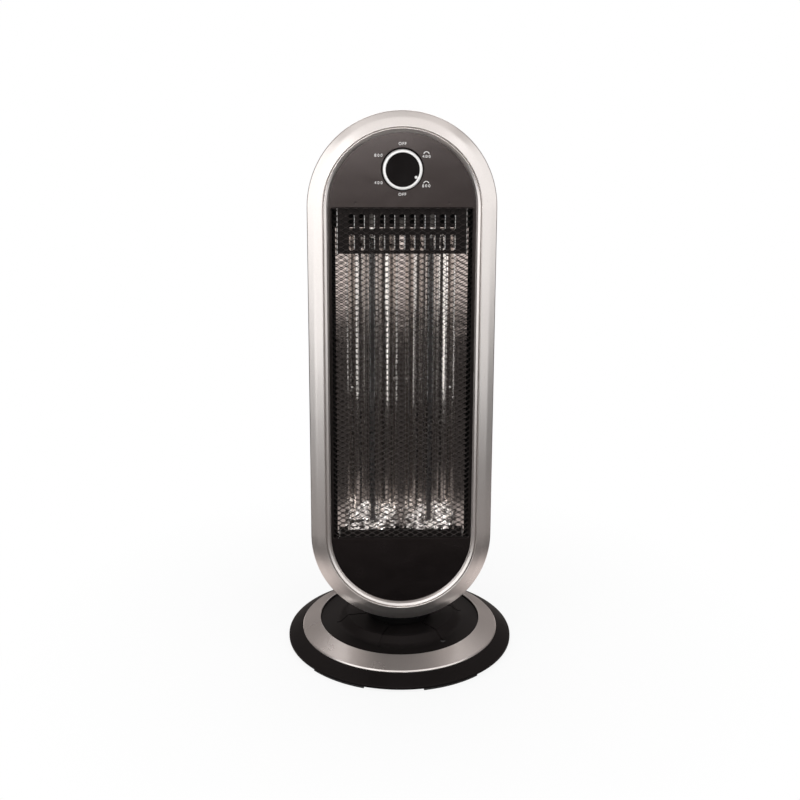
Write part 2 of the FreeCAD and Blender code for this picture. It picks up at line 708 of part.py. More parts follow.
def rear_case(outside, hollow):
    """The black back shell: spigot into the frame, screw wells, vents, grip pocket and two passages."""
    spigot_outer = EDGE - FRAME_DRAFT - FRAME_WALL - 0.5
    spigot_front = CASE_FRONT - SPIGOT_LENGTH
    spigot = racetrack([
        (spigot_outer - 2.2, spigot_front, 0),
        (spigot_outer, spigot_front, 0.6),
        (spigot_outer, SPIGOT_BACK, 0),
        (spigot_outer - 2.2, SPIGOT_BACK, 0),
    ])
    shell = outside.cut(hollow)
    tubes = [rod_y(WELL_RADIUS + 1.6, x, z, POST_END + FIT, CASE_DEPTH) for x, z in screw_places()]
    wells = [tube.common(outside) for tube in tubes]
    cup = slot_cutter(0, GRIP_PLACE, GRIP_LENGTH + 2 * CASE_WALL, GRIP_HEIGHT + 2 * CASE_WALL,
                      CASE_DEPTH - GRIP_DEPTH - CASE_WALL, CASE_DEPTH - 1)
    grip = slot_cutter(0, GRIP_PLACE, GRIP_LENGTH, GRIP_HEIGHT, CASE_DEPTH - GRIP_DEPTH, CASE_DEPTH + 1)
    gland = rod_y(GLAND_BORE + 2 + FIT, 0, GLAND_PLACE, CASE_DEPTH - CASE_WALL - 1, CASE_DEPTH + 1)
    drilled = [rod_y(WELL_RADIUS, x, z, WELL_FLOOR, CASE_DEPTH + 1) for x, z in screw_places()]
    bored = [rod_y(SCREW_RADIUS + FIT, x, z, CASE_FRONT, WELL_FLOOR + 1) for x, z in screw_places()]
    body = shell.multiFuse([spigot, cup] + wells).cut(drilled + bored + vent_cutters() + [grip, gland])
    return lean(body).cut(rod_z(SLEEVE_RADIUS + FIT, 0, 0, 0, SLEEVE_TOP))


def case_screws():
    """Screws at the floor of the case's wells, driven into the frame's posts."""
    screws = []
    for x, z in screw_places():
        shank = rod_y(SCREW_RADIUS, x, z, POST_END - 12, WELL_FLOOR)
        screws.append(fused([shank, rod_y(SCREW_HEAD, x, z, WELL_FLOOR, WELL_FLOOR + 2.6)]))
    return Part.makeCompound(screws)


def cord_gland():
    """Rubber grommet in the back wall where the mains lead enters."""
    back = CASE_DEPTH
    inside = CASE_DEPTH - CASE_WALL
    return spun_y([
        (GLAND_BORE, inside - 3, 0),
        (GLAND_BORE + 4.4, inside - 3, 0.8),
        (GLAND_BORE + 4.4, inside, 0),
        (GLAND_BORE + 2, inside, 0),
        (GLAND_BORE + 2, back, 0),
        (GLAND_BORE + 4.4, back, 0),
        (GLAND_BORE + 4.4, back + 3, 1),
        (GLAND_BORE, back + 3, 0),
    ], GLAND_PLACE)


def front_space(depth):
    """All that the front of the upright takes up, down to a depth, where the leaning upright has it."""
    return lean(racetrack([
        (0, 0, 0),
        (EDGE + FIT, 0, 0),
        (EDGE + FIT, depth, 0),
        (0, depth, 0),
    ]))


def neck_collar(outside):
    """The short black neck under the case, its top cut to the case's curved underside."""
    low = HUB_TOP + 0.6
    high = FLOOR_GAP + 22
    inner = SLEEVE_RADIUS + 4
    neck = spun([
        (inner, low, 0),
        (NECK_FOOT, low, 1),
        (NECK_RADIUS, high, 0),
        (inner, high, 0),
    ])
    return neck.cut([lean(outside), front_space(CASE_FRONT)])


def pivot_sleeve(hollow):
    """The bearing housing: a tube round both bushes, with a wide foot on the floor of the case."""
    tube = rod_z(SLEEVE_RADIUS, 0, 0, SLEEVE_LOW, SLEEVE_TOP)
    flange = rod_z(SLEEVE_RADIUS + SLEEVE_FLANGE, 0, 0, SLEEVE_LOW, FLOOR_GAP + 22)
    foot = flange.common(lean(hollow)).cut(front_space(SPIGOT_BACK + FIT))
    return fused([tube, foot]).cut(rod_z(BUSH_RADIUS + PRESS, 0, 0, 0, SLEEVE_TOP + 1))


def pivot_bush(low, flange_low, length):
    """A flanged plain bearing that runs on the post."""
    body = rod_z(BUSH_RADIUS, 0, 0, low, low + length)
    flange = rod_z(BUSH_RADIUS + 3, 0, 0, flange_low, flange_low + 2)
    return fused([body, flange]).cut(rod_z(POST_RADIUS + RUN, 0, 0, low - 3, low + length + 3))


def lower_bush():
    return pivot_bush(BUSH_LOW, BUSH_LOW, 16)


def upper_bush():
    return pivot_bush(SLEEVE_TOP - 14, SLEEVE_TOP, 16)


def pivot_post():
    """Hollow steel post on the base that carries the upright and lets the wiring through."""
    return spun([
        (POST_BORE, PLATE_TOP, 0),
        (POST_FLANGE, PLATE_TOP, 0.5),
        (POST_FLANGE, PLATE_TOP + 2.5, 0.5),
        (POST_RADIUS, PLATE_TOP + 2.5, 0),
        (POST_RADIUS, POST_TOP, 0.6),
        (POST_BORE, POST_TOP, 0),
    ])


def thrust_washer():
    return pipe_z(BUSH_RADIUS + 4, POST_RADIUS + FIT, 0, 0, HUB_TOP, WASHER_TOP)


def post_retainer():
    return pipe_z(BUSH_RADIUS + 3, POST_RADIUS + PRESS, 0, 0, RETAINER_LOW, ARM_LOW)


def drive_arm():
    """The still arm on the post's top, slotted for the crank pin that swings the upright."""
    width = PIN_RADIUS + 4
    slot = PIN_RADIUS + 0.2
    near = MOTOR_OFFSET - CRANK_THROW
    eye = rod_z(BUSH_RADIUS + 3, 0, 0, ARM_LOW, ARM_TOP)
    tip = rod_z(width, ARM_END, 0, ARM_LOW, ARM_TOP)
    bar = block((0, ARM_END), (-width, width), (ARM_LOW, ARM_TOP))
    gap = block((near, ARM_END), (-slot, slot), (ARM_LOW - 1, ARM_TOP + 1))
    ends = [rod_z(slot, x, 0, ARM_LOW - 1, ARM_TOP + 1) for x in (near, ARM_END)]
    bore = rod_z(POST_RADIUS + PRESS, 0, 0, ARM_LOW - 1, ARM_TOP + 1)
    return fused([eye, tip, bar]).cut([gap, bore] + ends)


def motor_crank():
    """The crank on the motor's shaft, its pin stopping just above the slotted arm."""
    hub = rod_z(MOTOR_SHAFT + 3.5, MOTOR_OFFSET, 0, CRANK_LOW, CRANK_TOP)
    end = rod_z(PIN_RADIUS + 2.5, ARM_END, 0, CRANK_LOW, CRANK_TOP)
    web = block((MOTOR_OFFSET, ARM_END), (-PIN_RADIUS - 2.5, PIN_RADIUS + 2.5), (CRANK_LOW, CRANK_TOP))
    pin = rod_z(PIN_RADIUS, ARM_END, 0, ARM_TOP + 0.5, CRANK_LOW + 1)
    bore = rod_z(MOTOR_SHAFT + PRESS, MOTOR_OFFSET, 0, CRANK_LOW - 1, CRANK_TOP + 1)
    return fused([hub, end, web, pin]).cut(bore)


def motor_shaft():
    return rod_z(MOTOR_SHAFT, MOTOR_OFFSET, 0, CRANK_LOW, CHASSIS_TOP + 5)


def leg_places():
    far = ARM_END + PIN_RADIUS + 4 + CHASSIS_LEG + 4
    near = 2 * CHASSIS_LEG - CHASSIS_REACH
    spread = CHASSIS_WIDTH / 2 - CHASSIS_LEG - 1
    return [(x, side * spread) for x in (far, near) for side in (-1, 1)]


def motor_chassis(hollow):
    """Steel shelf over the crank on four legs that stand on the floor of the case."""
    far = leg_places()[0][0]
    width = (-CHASSIS_WIDTH / 2, CHASSIS_WIDTH / 2)
    shelf = block((-CHASSIS_REACH, far + CHASSIS_LEG), width, (CHASSIS_LOW, CHASSIS_TOP))
    legs = [rod_z(CHASSIS_LEG, x, y, 0, CHASSIS_LOW + 1).common(lean(hollow)) for x, y in leg_places()]
    holes = [rod_z(MOTOR_SHAFT + 2, MOTOR_OFFSET, 0, CHASSIS_LOW - 1, CHASSIS_TOP + 1)]
    holes.append(rod_z(POST_BORE, 0, 0, CHASSIS_LOW - 1, CHASSIS_TOP + 1))
    return fused([shelf] + legs).cut(holes)


def swing_motor():
    """Slow synchronous motor on the shelf, a round can with two fixing ears."""
    can = rod_z(MOTOR_RADIUS, MOTOR_OFFSET, 0, CHASSIS_TOP, CHASSIS_TOP + MOTOR_HEIGHT)
    ears = block((MOTOR_OFFSET - 4, MOTOR_OFFSET + 4), (-MOTOR_RADIUS - 6, MOTOR_RADIUS + 6),
                 (CHASSIS_TOP, CHASSIS_TOP + 1))
    bore = rod_z(MOTOR_SHAFT + RUN, MOTOR_OFFSET, 0, CHASSIS_TOP - 1, CHASSIS_TOP + 5.5)
    return fused([can, ears]).cut(bore)


def terminal(i, side):
    """The floor of one of the terminal block's wells, counted from its outer end."""
    return Vector(TERMINAL_START + TERMINAL_PITCH * (i + 1), side * 5, CHASSIS_TOP + TERMINAL_WELL)


def terminal_block():
    """Connector block on the shelf, with two rows of wells for the wires."""
    length = (TERMINAL_START, TERMINAL_START + (TERMINAL_COUNT + 1) * TERMINAL_PITCH)
    width = (-TERMINAL_WIDTH / 2, TERMINAL_WIDTH / 2)
    body = block(length, width, (CHASSIS_TOP, CHASSIS_TOP + 2 * TERMINAL_WELL))
    floors = [terminal(i, side) for i in range(TERMINAL_COUNT) for side in (-1, 1)]
    return body.cut([rod_z(WIRE_RADIUS + 0.6, p.x, p.y, p.z, p.z + TERMINAL_WELL + 1) for p in floors])


def wire(points):
    """A round wire along straight runs joined by even bends."""
    edges = []
    start = points[0]
    for before, corner, after in zip(points, points[1:], points[2:]):
        back = before - corner
        ahead = after - corner
        back.normalize()
        ahead.normalize()
        half = back.getAngle(ahead) / 2
        reach = WIRE_BEND / math.tan(half)
        middle = back + ahead
        middle.normalize()
        crest = corner + middle * (WIRE_BEND / math.sin(half) - WIRE_BEND)
        edges.append(Part.makeLine(start, corner + back * reach))
        edges.append(Part.Arc(corner + back * reach, crest, corner + ahead * reach).toShape())
        start = corner + ahead * reach
    edges.append(Part.makeLine(start, points[-1]))
    circle = Part.Wire(Part.makeCircle(WIRE_RADIUS, points[0], points[1] - points[0]))
    return Part.Wire(edges).makePipeShell([circle], True, False)


def leant(x, y, z):
    """A point of the straight upright, where the leaning upright has it."""
    return UPRIGHT.multVec(Vector(x, y, z))


def wire_loom():
    """Switch to upper caps and cut-out, cut-out to terminals, terminals to lower caps."""
    tab_end = PANEL_BACK + SWITCH_DEPTH + SWITCH_TAB
    behind = FLANGE_FRONT + TROUGH_DEPTH + 14
    cap_top = REFLECTOR_HIGH + SHEET + CAP_LENGTH
    blade_top = REFLECTOR_HIGH + SHEET + 17
    turn = WINDOW_HIGH + 8
    cap_end = leant(-TUBE_SIDE, TUBE_DEPTH, REFLECTOR_LOW - SHEET - CAP_LENGTH)
    wires = []
    for side in (-1, 1):
        wires.append(wire([
            leant(side * SWITCH_TAB_PITCH, tab_end, KNOB_PLACE),
            leant(side * SWITCH_TAB_PITCH, tab_end + 12, KNOB_PLACE),
            leant(side * TUBE_SIDE, tab_end + 12, turn),
            leant(side * TUBE_SIDE, TUBE_DEPTH, turn),
            leant(side * TUBE_SIDE, TUBE_DEPTH, cap_top),
        ]))
        goal = terminal(2, -1) if side < 0 else terminal(3, -1)
        level = cap_end.z - 8 + side
        wires.append(wire([
            Vector(side * TUBE_SIDE, cap_end.y, cap_end.z),
            Vector(side * TUBE_SIDE, cap_end.y, level),
            Vector(goal.x, goal.y, level),
            goal,
        ]))
    wires.append(wire([
        leant(0, tab_end, KNOB_PLACE),
        leant(0, tab_end + 14, KNOB_PLACE),
        leant(3.4, tab_end + 14, turn),
        leant(3.4, TUBE_DEPTH, turn),
        leant(3.4, TUBE_DEPTH, blade_top),
    ]))
    goal = terminal(1, 1)
    wires.append(wire([
        leant(-3.4, TUBE_DEPTH, blade_top),
        leant(-3.4, TUBE_DEPTH, turn - 1),
        leant(-3.4, behind, turn - 1),
        leant(goal.x, behind, REFLECTOR_HIGH),
        leant(goal.x, behind, LOW_CENTRE),
        Vector(goal.x, goal.y, goal.z + 20),
        goal,
    ]))
    return Part.makeCompound(wires)


def slope(radius):
    """Height of the base's outside: the skirt as far as the trim ring, then the ring's own slope."""
    skirt = BASE_RADIUS - max(radius, RING_OUTER)
    ring = max(RING_OUTER - radius, 0)
    return BASE_RIM + skirt * SKIRT_SLOPE + ring * RING_SLOPE


def base_screw_places():
    turns = [math.radians(i * 360 / BASE_SCREWS) for i in range(BASE_SCREWS)]
    return [(BASE_SCREW_CIRCLE * math.cos(t), BASE_SCREW_CIRCLE * math.sin(t)) for t in turns]


def hub_lines():
    """Cutters for the fine radial grooves that run over the hub and down its slant."""
    outer = HUB_FOOT + LINE_REACH
    side = [
        (LINE_INNER, HUB_TOP - LINE_DEPTH, 0),
        (HUB_RADIUS, HUB_TOP - LINE_DEPTH, 0),
        (HUB_FOOT, DISC_TOP - LINE_DEPTH, 0),
        (outer, DISC_TOP - LINE_DEPTH, 0),
        (outer, HUB_TOP + 1, 0),
        (LINE_INNER, HUB_TOP + 1, 0),
    ]
    face = Part.Face(rounded_wire(side, upright)).translated(Vector(0, -LINE_WIDTH / 2, 0))
    lines = []
    for i in range(LINE_COUNT):
        line = face.extrude(Vector(0, LINE_WIDTH, 0))
        line.rotate(ORIGIN, Z_AXIS, LINE_TURN + i * 360 / LINE_COUNT)
        lines.append(line)
    return lines


def base_cover():
    """The base's top: sloping skirt, seat for the trim ring, sunk disc and raised hub round the post."""
    bore = POST_RADIUS + FIT
    seat_in = RING_INNER - RING_GAP
    seat_out = RING_OUTER + RING_GAP
    seat_end = slope(RING_OUTER) - RING_GAP * RING_SLOPE - RING_SEAT
    under = RING_SEAT + BASE_WALL
    shell = spun([
        (bore, HUB_TOP, 0),
        (HUB_RADIUS, HUB_TOP, 2.5),
        (HUB_FOOT, DISC_TOP, 8),
        (seat_in, DISC_TOP, 0),
        (seat_in, slope(seat_in) - RING_SEAT, 0),
        (seat_out, seat_end, 0),
        (seat_out, slope(seat_out), 0.3),
        (BASE_RADIUS, BASE_RIM, 1),
        (BASE_RADIUS, FOOT_HEIGHT, 0),
        (BASE_RADIUS - BASE_WALL, FOOT_HEIGHT, 0),
        (BASE_RADIUS - BASE_WALL, BASE_RIM - 0.4, 0),
        (BASE_RADIUS - BASE_WALL - 4, BASE_RIM - 0.4, 0),
        (seat_in, slope(seat_in) - under, 0),
        (seat_in - 2, DISC_TOP - BASE_WALL, 0),
        (HUB_FOOT, DISC_TOP - BASE_WALL, 0),
        (HUB_RADIUS, HUB_TOP - BASE_WALL, 0),
        (bore + 5, HUB_TOP - BASE_WALL, 0),
        (bore + 5, PLATE_TOP + 3, 0),
        (bore, PLATE_TOP + 3, 0),
    ])
    bosses = [rod_z(4, x, y, PLATE_TOP, HUB_TOP - 1) for x, y in base_screw_places()]
    pilot_top = PLATE_TOP + BASE_SCREW_REACH + 1
    pilots = [rod_z(1.4 + PRESS, x, y, PLATE_TOP - 1, pilot_top) for x, y in base_screw_places()]
    return shell.multiFuse(bosses).cut(pilots + hub_lines())


def base_trim_ring():
    """The silver ring let into the slope, a little proud of it, its outer edge bevelled to the skirt."""
    bevel = RING_OUTER - RING_BEVEL
    return spun([
        (RING_INNER, slope(RING_INNER) - RING_SEAT, 0),
        (RING_INNER, slope(RING_INNER) + RING_PROUD, 0.5),
        (bevel, slope(bevel) + RING_PROUD, 0.5),
        (RING_OUTER, slope(RING_OUTER), 0.3),
        (RING_OUTER, slope(RING_OUTER) - RING_SEAT, 0),
    ])


def base_plate():
    plate = rod_z(BASE_RADIUS - BASE_WALL - FIT, 0, 0, FOOT_HEIGHT, PLATE_TOP)
    holes = [rod_z(1.4 + FIT, x, y, 0, PLATE_TOP + 1) for x, y in base_screw_places()]
    holes.append(rod_z(PLUNGER_RADIUS + FIT, 0, PLUNGER_PLACE, 0, PLATE_TOP + 1))
    return plate.cut(holes)


def base_screws():
    """Screws up through the base plate into the cover's bosses."""
    screws = []
    for x, y in base_screw_places():
        head = rod_z(3, x, y, FOOT_HEIGHT - 1.8, FOOT_HEIGHT)
        screws.append(fused([head, rod_z(1.4, x, y, FOOT_HEIGHT, PLATE_TOP + BASE_SCREW_REACH)]))
    return Part.makeCompound(screws)


def base_feet():
    """Rubber pads under the rim, each an arc of it, spaced evenly."""
    outer = BASE_RADIUS - FOOT_INSET
    section = Part.Face(rounded_wire([
        (outer - FOOT_LENGTH, 0, 0.8),
        (outer, 0, 0.8),
        (outer, FOOT_HEIGHT, 0),
        (outer - FOOT_LENGTH, FOOT_HEIGHT, 0),
    ], upright))
    pads = []
    for i in range(FOOT_COUNT):
        pad = section.revolve(ORIGIN, Z_AXIS, FOOT_ARC)
        pad.rotate(ORIGIN, Z_AXIS, FOOT_TURN + i * 360 / FOOT_COUNT - FOOT_ARC / 2)
        pads.append(pad)
    return Part.makeCompound(pads)


def switch_box(spare):
    """The tip-over switch's outline, grown by a clearance."""
    across = TIP_WIDTH / 2 + spare
    along = TIP_LENGTH / 2 + spare
    y = (PLUNGER_PLACE - along, PLUNGER_PLACE + along)
    return block((-across, across), y, (PLATE_TOP, PLATE_TOP + TIP_HEIGHT))


def base_ballast():
    ring = pipe_z(BALLAST_OUTER, BALLAST_INNER, 0, 0, PLATE_TOP, PLATE_TOP + BALLAST_HEIGHT)
    return ring.cut(switch_box(1))


def plunger_flange():
    """Height of the plunger's flange when the heater stands on the floor."""
    return PLATE_TOP + 3 + PLUNGER_TRAVEL + 0.2


def tip_switch():
    """Tip-over switch on the base plate, bored to guide its plunger."""
    bore = rod_z(PLUNGER_RADIUS + FIT, 0, PLUNGER_PLACE, 0, PLATE_TOP + 4)
    chamber = rod_z(PLUNGER_RADIUS + 2, 0, PLUNGER_PLACE, PLATE_TOP + 3, plunger_flange() + 2)
    return switch_box(0).cut([bore, chamber])


def tip_plunger():
    """The pin that the floor holds up and that drops out when the heater is lifted."""
    flange = plunger_flange()
    return spun([
        (0, 0, 0),
        (PLUNGER_RADIUS, 0, 1),
        (PLUNGER_RADIUS, flange, 0),
        (PLUNGER_RADIUS + 1.6, flange, 0),
        (PLUNGER_RADIUS + 1.6, flange + 1.5, 0),
        (0, flange + 1.5, 0),
    ]).translated(Vector(0, PLUNGER_PLACE, 0))


def build():
    outside = case_body(0)
    hollow = case_body(CASE_WALL)
    leaning = {
        "front_frame": front_frame(),
        "front_panel": front_panel(),
        "mesh_guard": mesh_guard(),
        "heat_shield": heat_shield(),
        "lower_shield": lower_shield(),
        "shield_screws": shield_screws(),
        "reflector": reflector(),
        "upper_end_plate": upper_end_plate(),
        "lower_end_plate": lower_end_plate(),
        "tube_caps": tube_caps(),
        "cap_clips": cap_clips(),
        "quartz_tube_right": quartz_tube(),
        "quartz_tube_left": mirrored(quartz_tube()),
        "carbon_ribbon_right": carbon_ribbon(),
        "carbon_ribbon_left": mirrored(carbon_ribbon()),
        "filament_leads": filament_leads(),
        "thermal_cutout": thermal_cutout(),
        "rotary_switch": rotary_switch(),
        "switch_shaft": switch_shaft(),
        "knob_dial": knob_dial(),
        "knob_ring": knob_ring(),
        "knob_pointer": knob_pointer(),
        "case_screws": case_screws(),
        "cord_gland": cord_gland(),
    }
    pieces = {name: lean(shape) for name, shape in leaning.items()}
    pieces.update({
        "rear_case": rear_case(outside, hollow),
        "neck_collar": neck_collar(outside),
        "pivot_sleeve": pivot_sleeve(hollow),
        "lower_bush": lower_bush(),
        "upper_bush": upper_bush(),
        "pivot_post": pivot_post(),
        "thrust_washer": thrust_washer(),
        "post_retainer": post_retainer(),
        "drive_arm": drive_arm(),
        "motor_crank": motor_crank(),
        "motor_shaft": motor_shaft(),
        "motor_chassis": motor_chassis(hollow),
        "swing_motor": swing_motor(),
        "terminal_block": terminal_block(),
        "wire_loom": wire_loom(),
        "base_cover": base_cover(),
        "base_trim_ring": base_trim_ring(),
        "base_plate": base_plate(),
        "base_screws": base_screws(),
        "base_feet": base_feet(),
        "base_ballast": base_ballast(),
        "tip_switch": tip_switch(),
        "tip_plunger": tip_plunger(),
    })
    return pieces


os.makedirs("parts", exist_ok=True)
for name, shape in build().items():
    shape.exportStep(os.path.join("parts", name + ".step"))
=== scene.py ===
"""Looks of the upright carbon fibre heater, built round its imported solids.

Metres, +Z up, and the grille faces -Y. Places on the leaning head are given from the knob's centre on
the head's front plane: across to the right, deep into the case and up along the head.
"""

import json
import math

import bpy
from mathutils import Matrix, Vector, noise
from mathutils.geometry import interpolate_bezier


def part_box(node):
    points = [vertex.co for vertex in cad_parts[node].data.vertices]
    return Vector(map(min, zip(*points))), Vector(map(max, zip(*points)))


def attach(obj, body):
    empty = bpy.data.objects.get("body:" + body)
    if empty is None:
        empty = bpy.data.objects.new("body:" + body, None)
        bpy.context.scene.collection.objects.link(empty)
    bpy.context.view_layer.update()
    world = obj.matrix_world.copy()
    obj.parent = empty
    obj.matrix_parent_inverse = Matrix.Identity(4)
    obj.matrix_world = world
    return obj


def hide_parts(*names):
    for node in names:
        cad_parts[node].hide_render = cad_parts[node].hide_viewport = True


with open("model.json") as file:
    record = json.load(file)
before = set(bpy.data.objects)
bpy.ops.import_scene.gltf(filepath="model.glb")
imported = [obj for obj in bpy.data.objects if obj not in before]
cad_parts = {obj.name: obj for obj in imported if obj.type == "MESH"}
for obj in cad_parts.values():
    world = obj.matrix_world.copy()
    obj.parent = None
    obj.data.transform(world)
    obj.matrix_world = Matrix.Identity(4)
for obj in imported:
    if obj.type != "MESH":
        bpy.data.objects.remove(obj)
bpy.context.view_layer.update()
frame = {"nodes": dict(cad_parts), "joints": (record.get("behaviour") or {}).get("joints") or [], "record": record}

MM = 0.001

# Camera
CAMERA_PLACE = (-0.0418, -1.306, 0.7279)
CAMERA_PITCH = 0.3237
CAMERA_YAW = 0.0312
CAMERA_ROLL = 0.006
CAMERA_LENS = 56.2

# Expanded metal of the guard
STRAND_PITCH = (10.74 * MM, 5.89 * MM)
STRAND_WIDTH = 0.7 * MM
STRAND_THICKNESS = 0.5 * MM
STRAND_TILT = math.radians(31)
KNUCKLE_LENGTH = 2.0 * MM
GUARD_BORDER = 2.0 * MM
GUARD_SET_BACK = 0.4 * MM

# Printed marks round the knob, and the well it stands in
LABEL_SIZE = 4.3 * MM
WORD_SPACING = 1.2
NUMBER_SPACING = 1.5
LABEL_RADIUS = 25.9 * MM
NUMBER_ACROSS = 24.9 * MM
NUMBER_UP = 14.0 * MM
PRINT_THICKNESS = 0.03 * MM
# Painted shade: the panel has no gloss inside this radius, and its gloss comes back over the edge beyond it
WELL_RADIUS = 21.8 * MM
WELL_SHADE_EDGE = 1.2 * MM

# Swing sign: its arc in degrees, and its line and arrow tip as shares of its width
SIGN_UP = 15.1 * MM
SIGN_STEP = 2.1 * MM
SIGN_WIDTH = 5.6 * MM
SIGN_FIRST_ANGLE = 35
SIGN_SWEEP = 110
SIGN_HALF_LINE = 0.055
ARROW_TIP = (0.12, 0.17)
ARROW_HALF_LINES = 2.2

# Painted shade on the black panel, its specular level lowered towards the bottom: two heights, and the specular
# level at each
PANEL_PAINTED_SHADE = (0.13, 0.47, 0.25, 0.6)

# Tint of the gloss on black pieces
WARM = (1.0, 0.87, 0.84, 1.0)

# Stretch in which most values of a pattern lie
PATTERN_LOW = 0.3
PATTERN_HIGH = 0.7

# Bare metal of the shields, by how far a face looks sideways
BARE_FROM = 0.2
BARE_TO = 0.35

# Slots of the heat shield, from the knob's centre
SLOT_COUNT = 11
SLOT_PITCH = 10.65 * MM
SLOT_HALF_WIDTH = 2.75 * MM
SLOT_HALF_LENGTH = 7.2 * MM
SLOT_ROWS = (-54.8 * MM, -76.6 * MM)
BURR_RADIUS = 0.45 * MM

# Crumpled foil at the reflector's foot, with its height as shares in the middle, by tearing and at the ends
FOIL_HALF_WIDTH = 62 * MM
FOIL_HEIGHT = 30 * MM
FOIL_SHARES = (0.85, 0.25, 0.15)
FOIL_SLANT = 15 * MM
FOIL_CRUMPLE = 3.0 * MM
FOIL_SMOOTH_TOP = 0.25
FOIL_START = 1.0 * MM
FOIL_THICKNESS = 0.2 * MM
FOIL_CLEAR_OF_SHIELD = 1.0 * MM
FOIL_CLEAR_OF_REFLECTOR = 0.3 * MM
FOIL_STEPS = (84, 14)
TEAR_SCALE = 90
CREASE_SCALES = (150, 190)
TEAR_SEED = 3.0
CREASE_SEED = 7.0

# Distance before the head's front plane, from where a ray looks for a surface
IN_FRONT = 50 * MM

# Rivets on the reflector, from the guard's middle
RIVET_ACROSS = 53.5 * MM
RIVET_DROP = 14.0 * MM
RIVET_RADIUS = 1.8 * MM

# Lead at the lower end of the left tube, from the guard's middle: across, deep and up
LEAD_ROUTE = ((-59, 12, -180), (-54, 13, -172), (-45, 14, -167), (-36, 15.5, -166))
LEAD_RADIUS = 0.7 * MM

# Mark on the base disc, put down on it from above
MARK_PLACE = (47.2 * MM, -60 * MM)
MARK_SIZE = 3.2 * MM
MARK_CORNERS = ((-1, 0.5, 0), (1, 0.5, 0), (0, -0.7, 0))
MARK_HEIGHT = 0.15 * MM
MARK_TOP = 0.85
MARK_FROM_ABOVE = 100 * MM

# Corners of a square, in turn
CORNERS = ((-1, -1), (1, -1), (1, 1), (-1, 1))

# Floor and fill light, and the floor's whiteness near the base and away from it
FILL_LEVEL = 0.35
FLOOR_HALF = 4.0
FLOOR_WHITE = (0.9, 0.9, 0.9, 1)
FLOOR_FADE = (0.13, 0.45, 0.86, 1.0)

# Room that reflections see, as (place, level): the bench by distance, and the dome by its share of height
ROOM_TINT = (1.0, 0.89, 0.85)
BENCH_REACH = 0.74
BENCH_LEVELS = (
    (0.2, 0.05), (0.5, 0.05), (0.56, 0.45), (BENCH_REACH - 0.02, 0.45), (BENCH_REACH + 0.04, 0.03),
)
BESIDE_LEVELS = ((0.15, 0.85), (0.25, 0.85), (0.33, 0.0))
BESIDE_FADE = (0.08, 0.16, 0.0, 1.0)
DOME_RADIUS = 3.0
DOME_PLACE = (0, 0, 0.35)
DOME_LEVELS = (
    (0.46, 0.03), (0.5, 0.1), (0.58, 0.2), (0.75, 0.2), (0.86, 0.4), (0.92, 0.4), (0.97, 0.22), (1.0, 0.18),
)
DOME_FADE = (-DOME_RADIUS, DOME_RADIUS, 1.0, 1.4)
WALL_LEVELS = ((0.46, 0.0), (0.478, 1.0), (0.54, 1.0), (0.58, 0.0))
WALL_FADE = (0.4, 1.0, 0.65, 0.2)

# Lamps: name, place, the point it faces, size and power
LAMPS = (
    ("soft_box_left", (-1.3, -0.95, 0.965), (0, 0, 0.965), (1.6, 1.55), 11.8),
    ("soft_box_right", (1.3, -0.95, 0.96), (0, 0, 0.96), (1.6, 1.52), 8.6),
    ("low_box_left", (-1.23, -1.03, 0.095), (0, 0, 0.095), (0.45, 0.19), 0.6),
    ("low_box_right", (1.23, -1.03, 0.1), (0, 0, 0.1), (0.45, 0.2), 0.42),
    ("soft_box_top", (0, -1.3, 1.4), (0, 0, 0.1), (2.0, 1.7), 9.0),
    ("strip_light_front", (-0.22, -1.9, 0.87), (0, 0, 0.55), (0.8, 0.2), 6.0),
    ("soft_box_back", (0, 1.3, 1.9), (0, 0, 0.35), (2.0, 0.9), 12.0),
    ("rim_light_left", (-0.41, 0.44, 1.06), (0, 0, 0.02), (0.3, 0.3), 0.07),
    ("rim_light_right", (0.41, 0.44, 1.06), (0, 0, 0.02), (0.3, 0.3), 0.07),
)


# Places on the leaning head
knob_joint = next(joint for joint in frame["joints"] if joint["name"] == "knob_turn")
FORWARD = Vector(knob_joint["axis"]).normalized()
LEAN = math.asin(FORWARD.z)
KNOB_CENTRE = Vector(knob_joint["pos_m"])
HEAD = Matrix.Translation(KNOB_CENTRE) @ Matrix.Rotation(-LEAN, 4, "X")


def depth_of(name):
    """Least and greatest depth of a node behind the head's front plane."""
    depths = [-(vertex.co - KNOB_CENTRE).dot(FORWARD) for vertex in frame["nodes"][name].data.vertices]
    return min(depths), max(depths)


def middle_of(name):
    """A node's middle as (across, deep, up) on the head."""
    low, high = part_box(name)
    return HEAD.inverted() @ ((low + high) / 2)


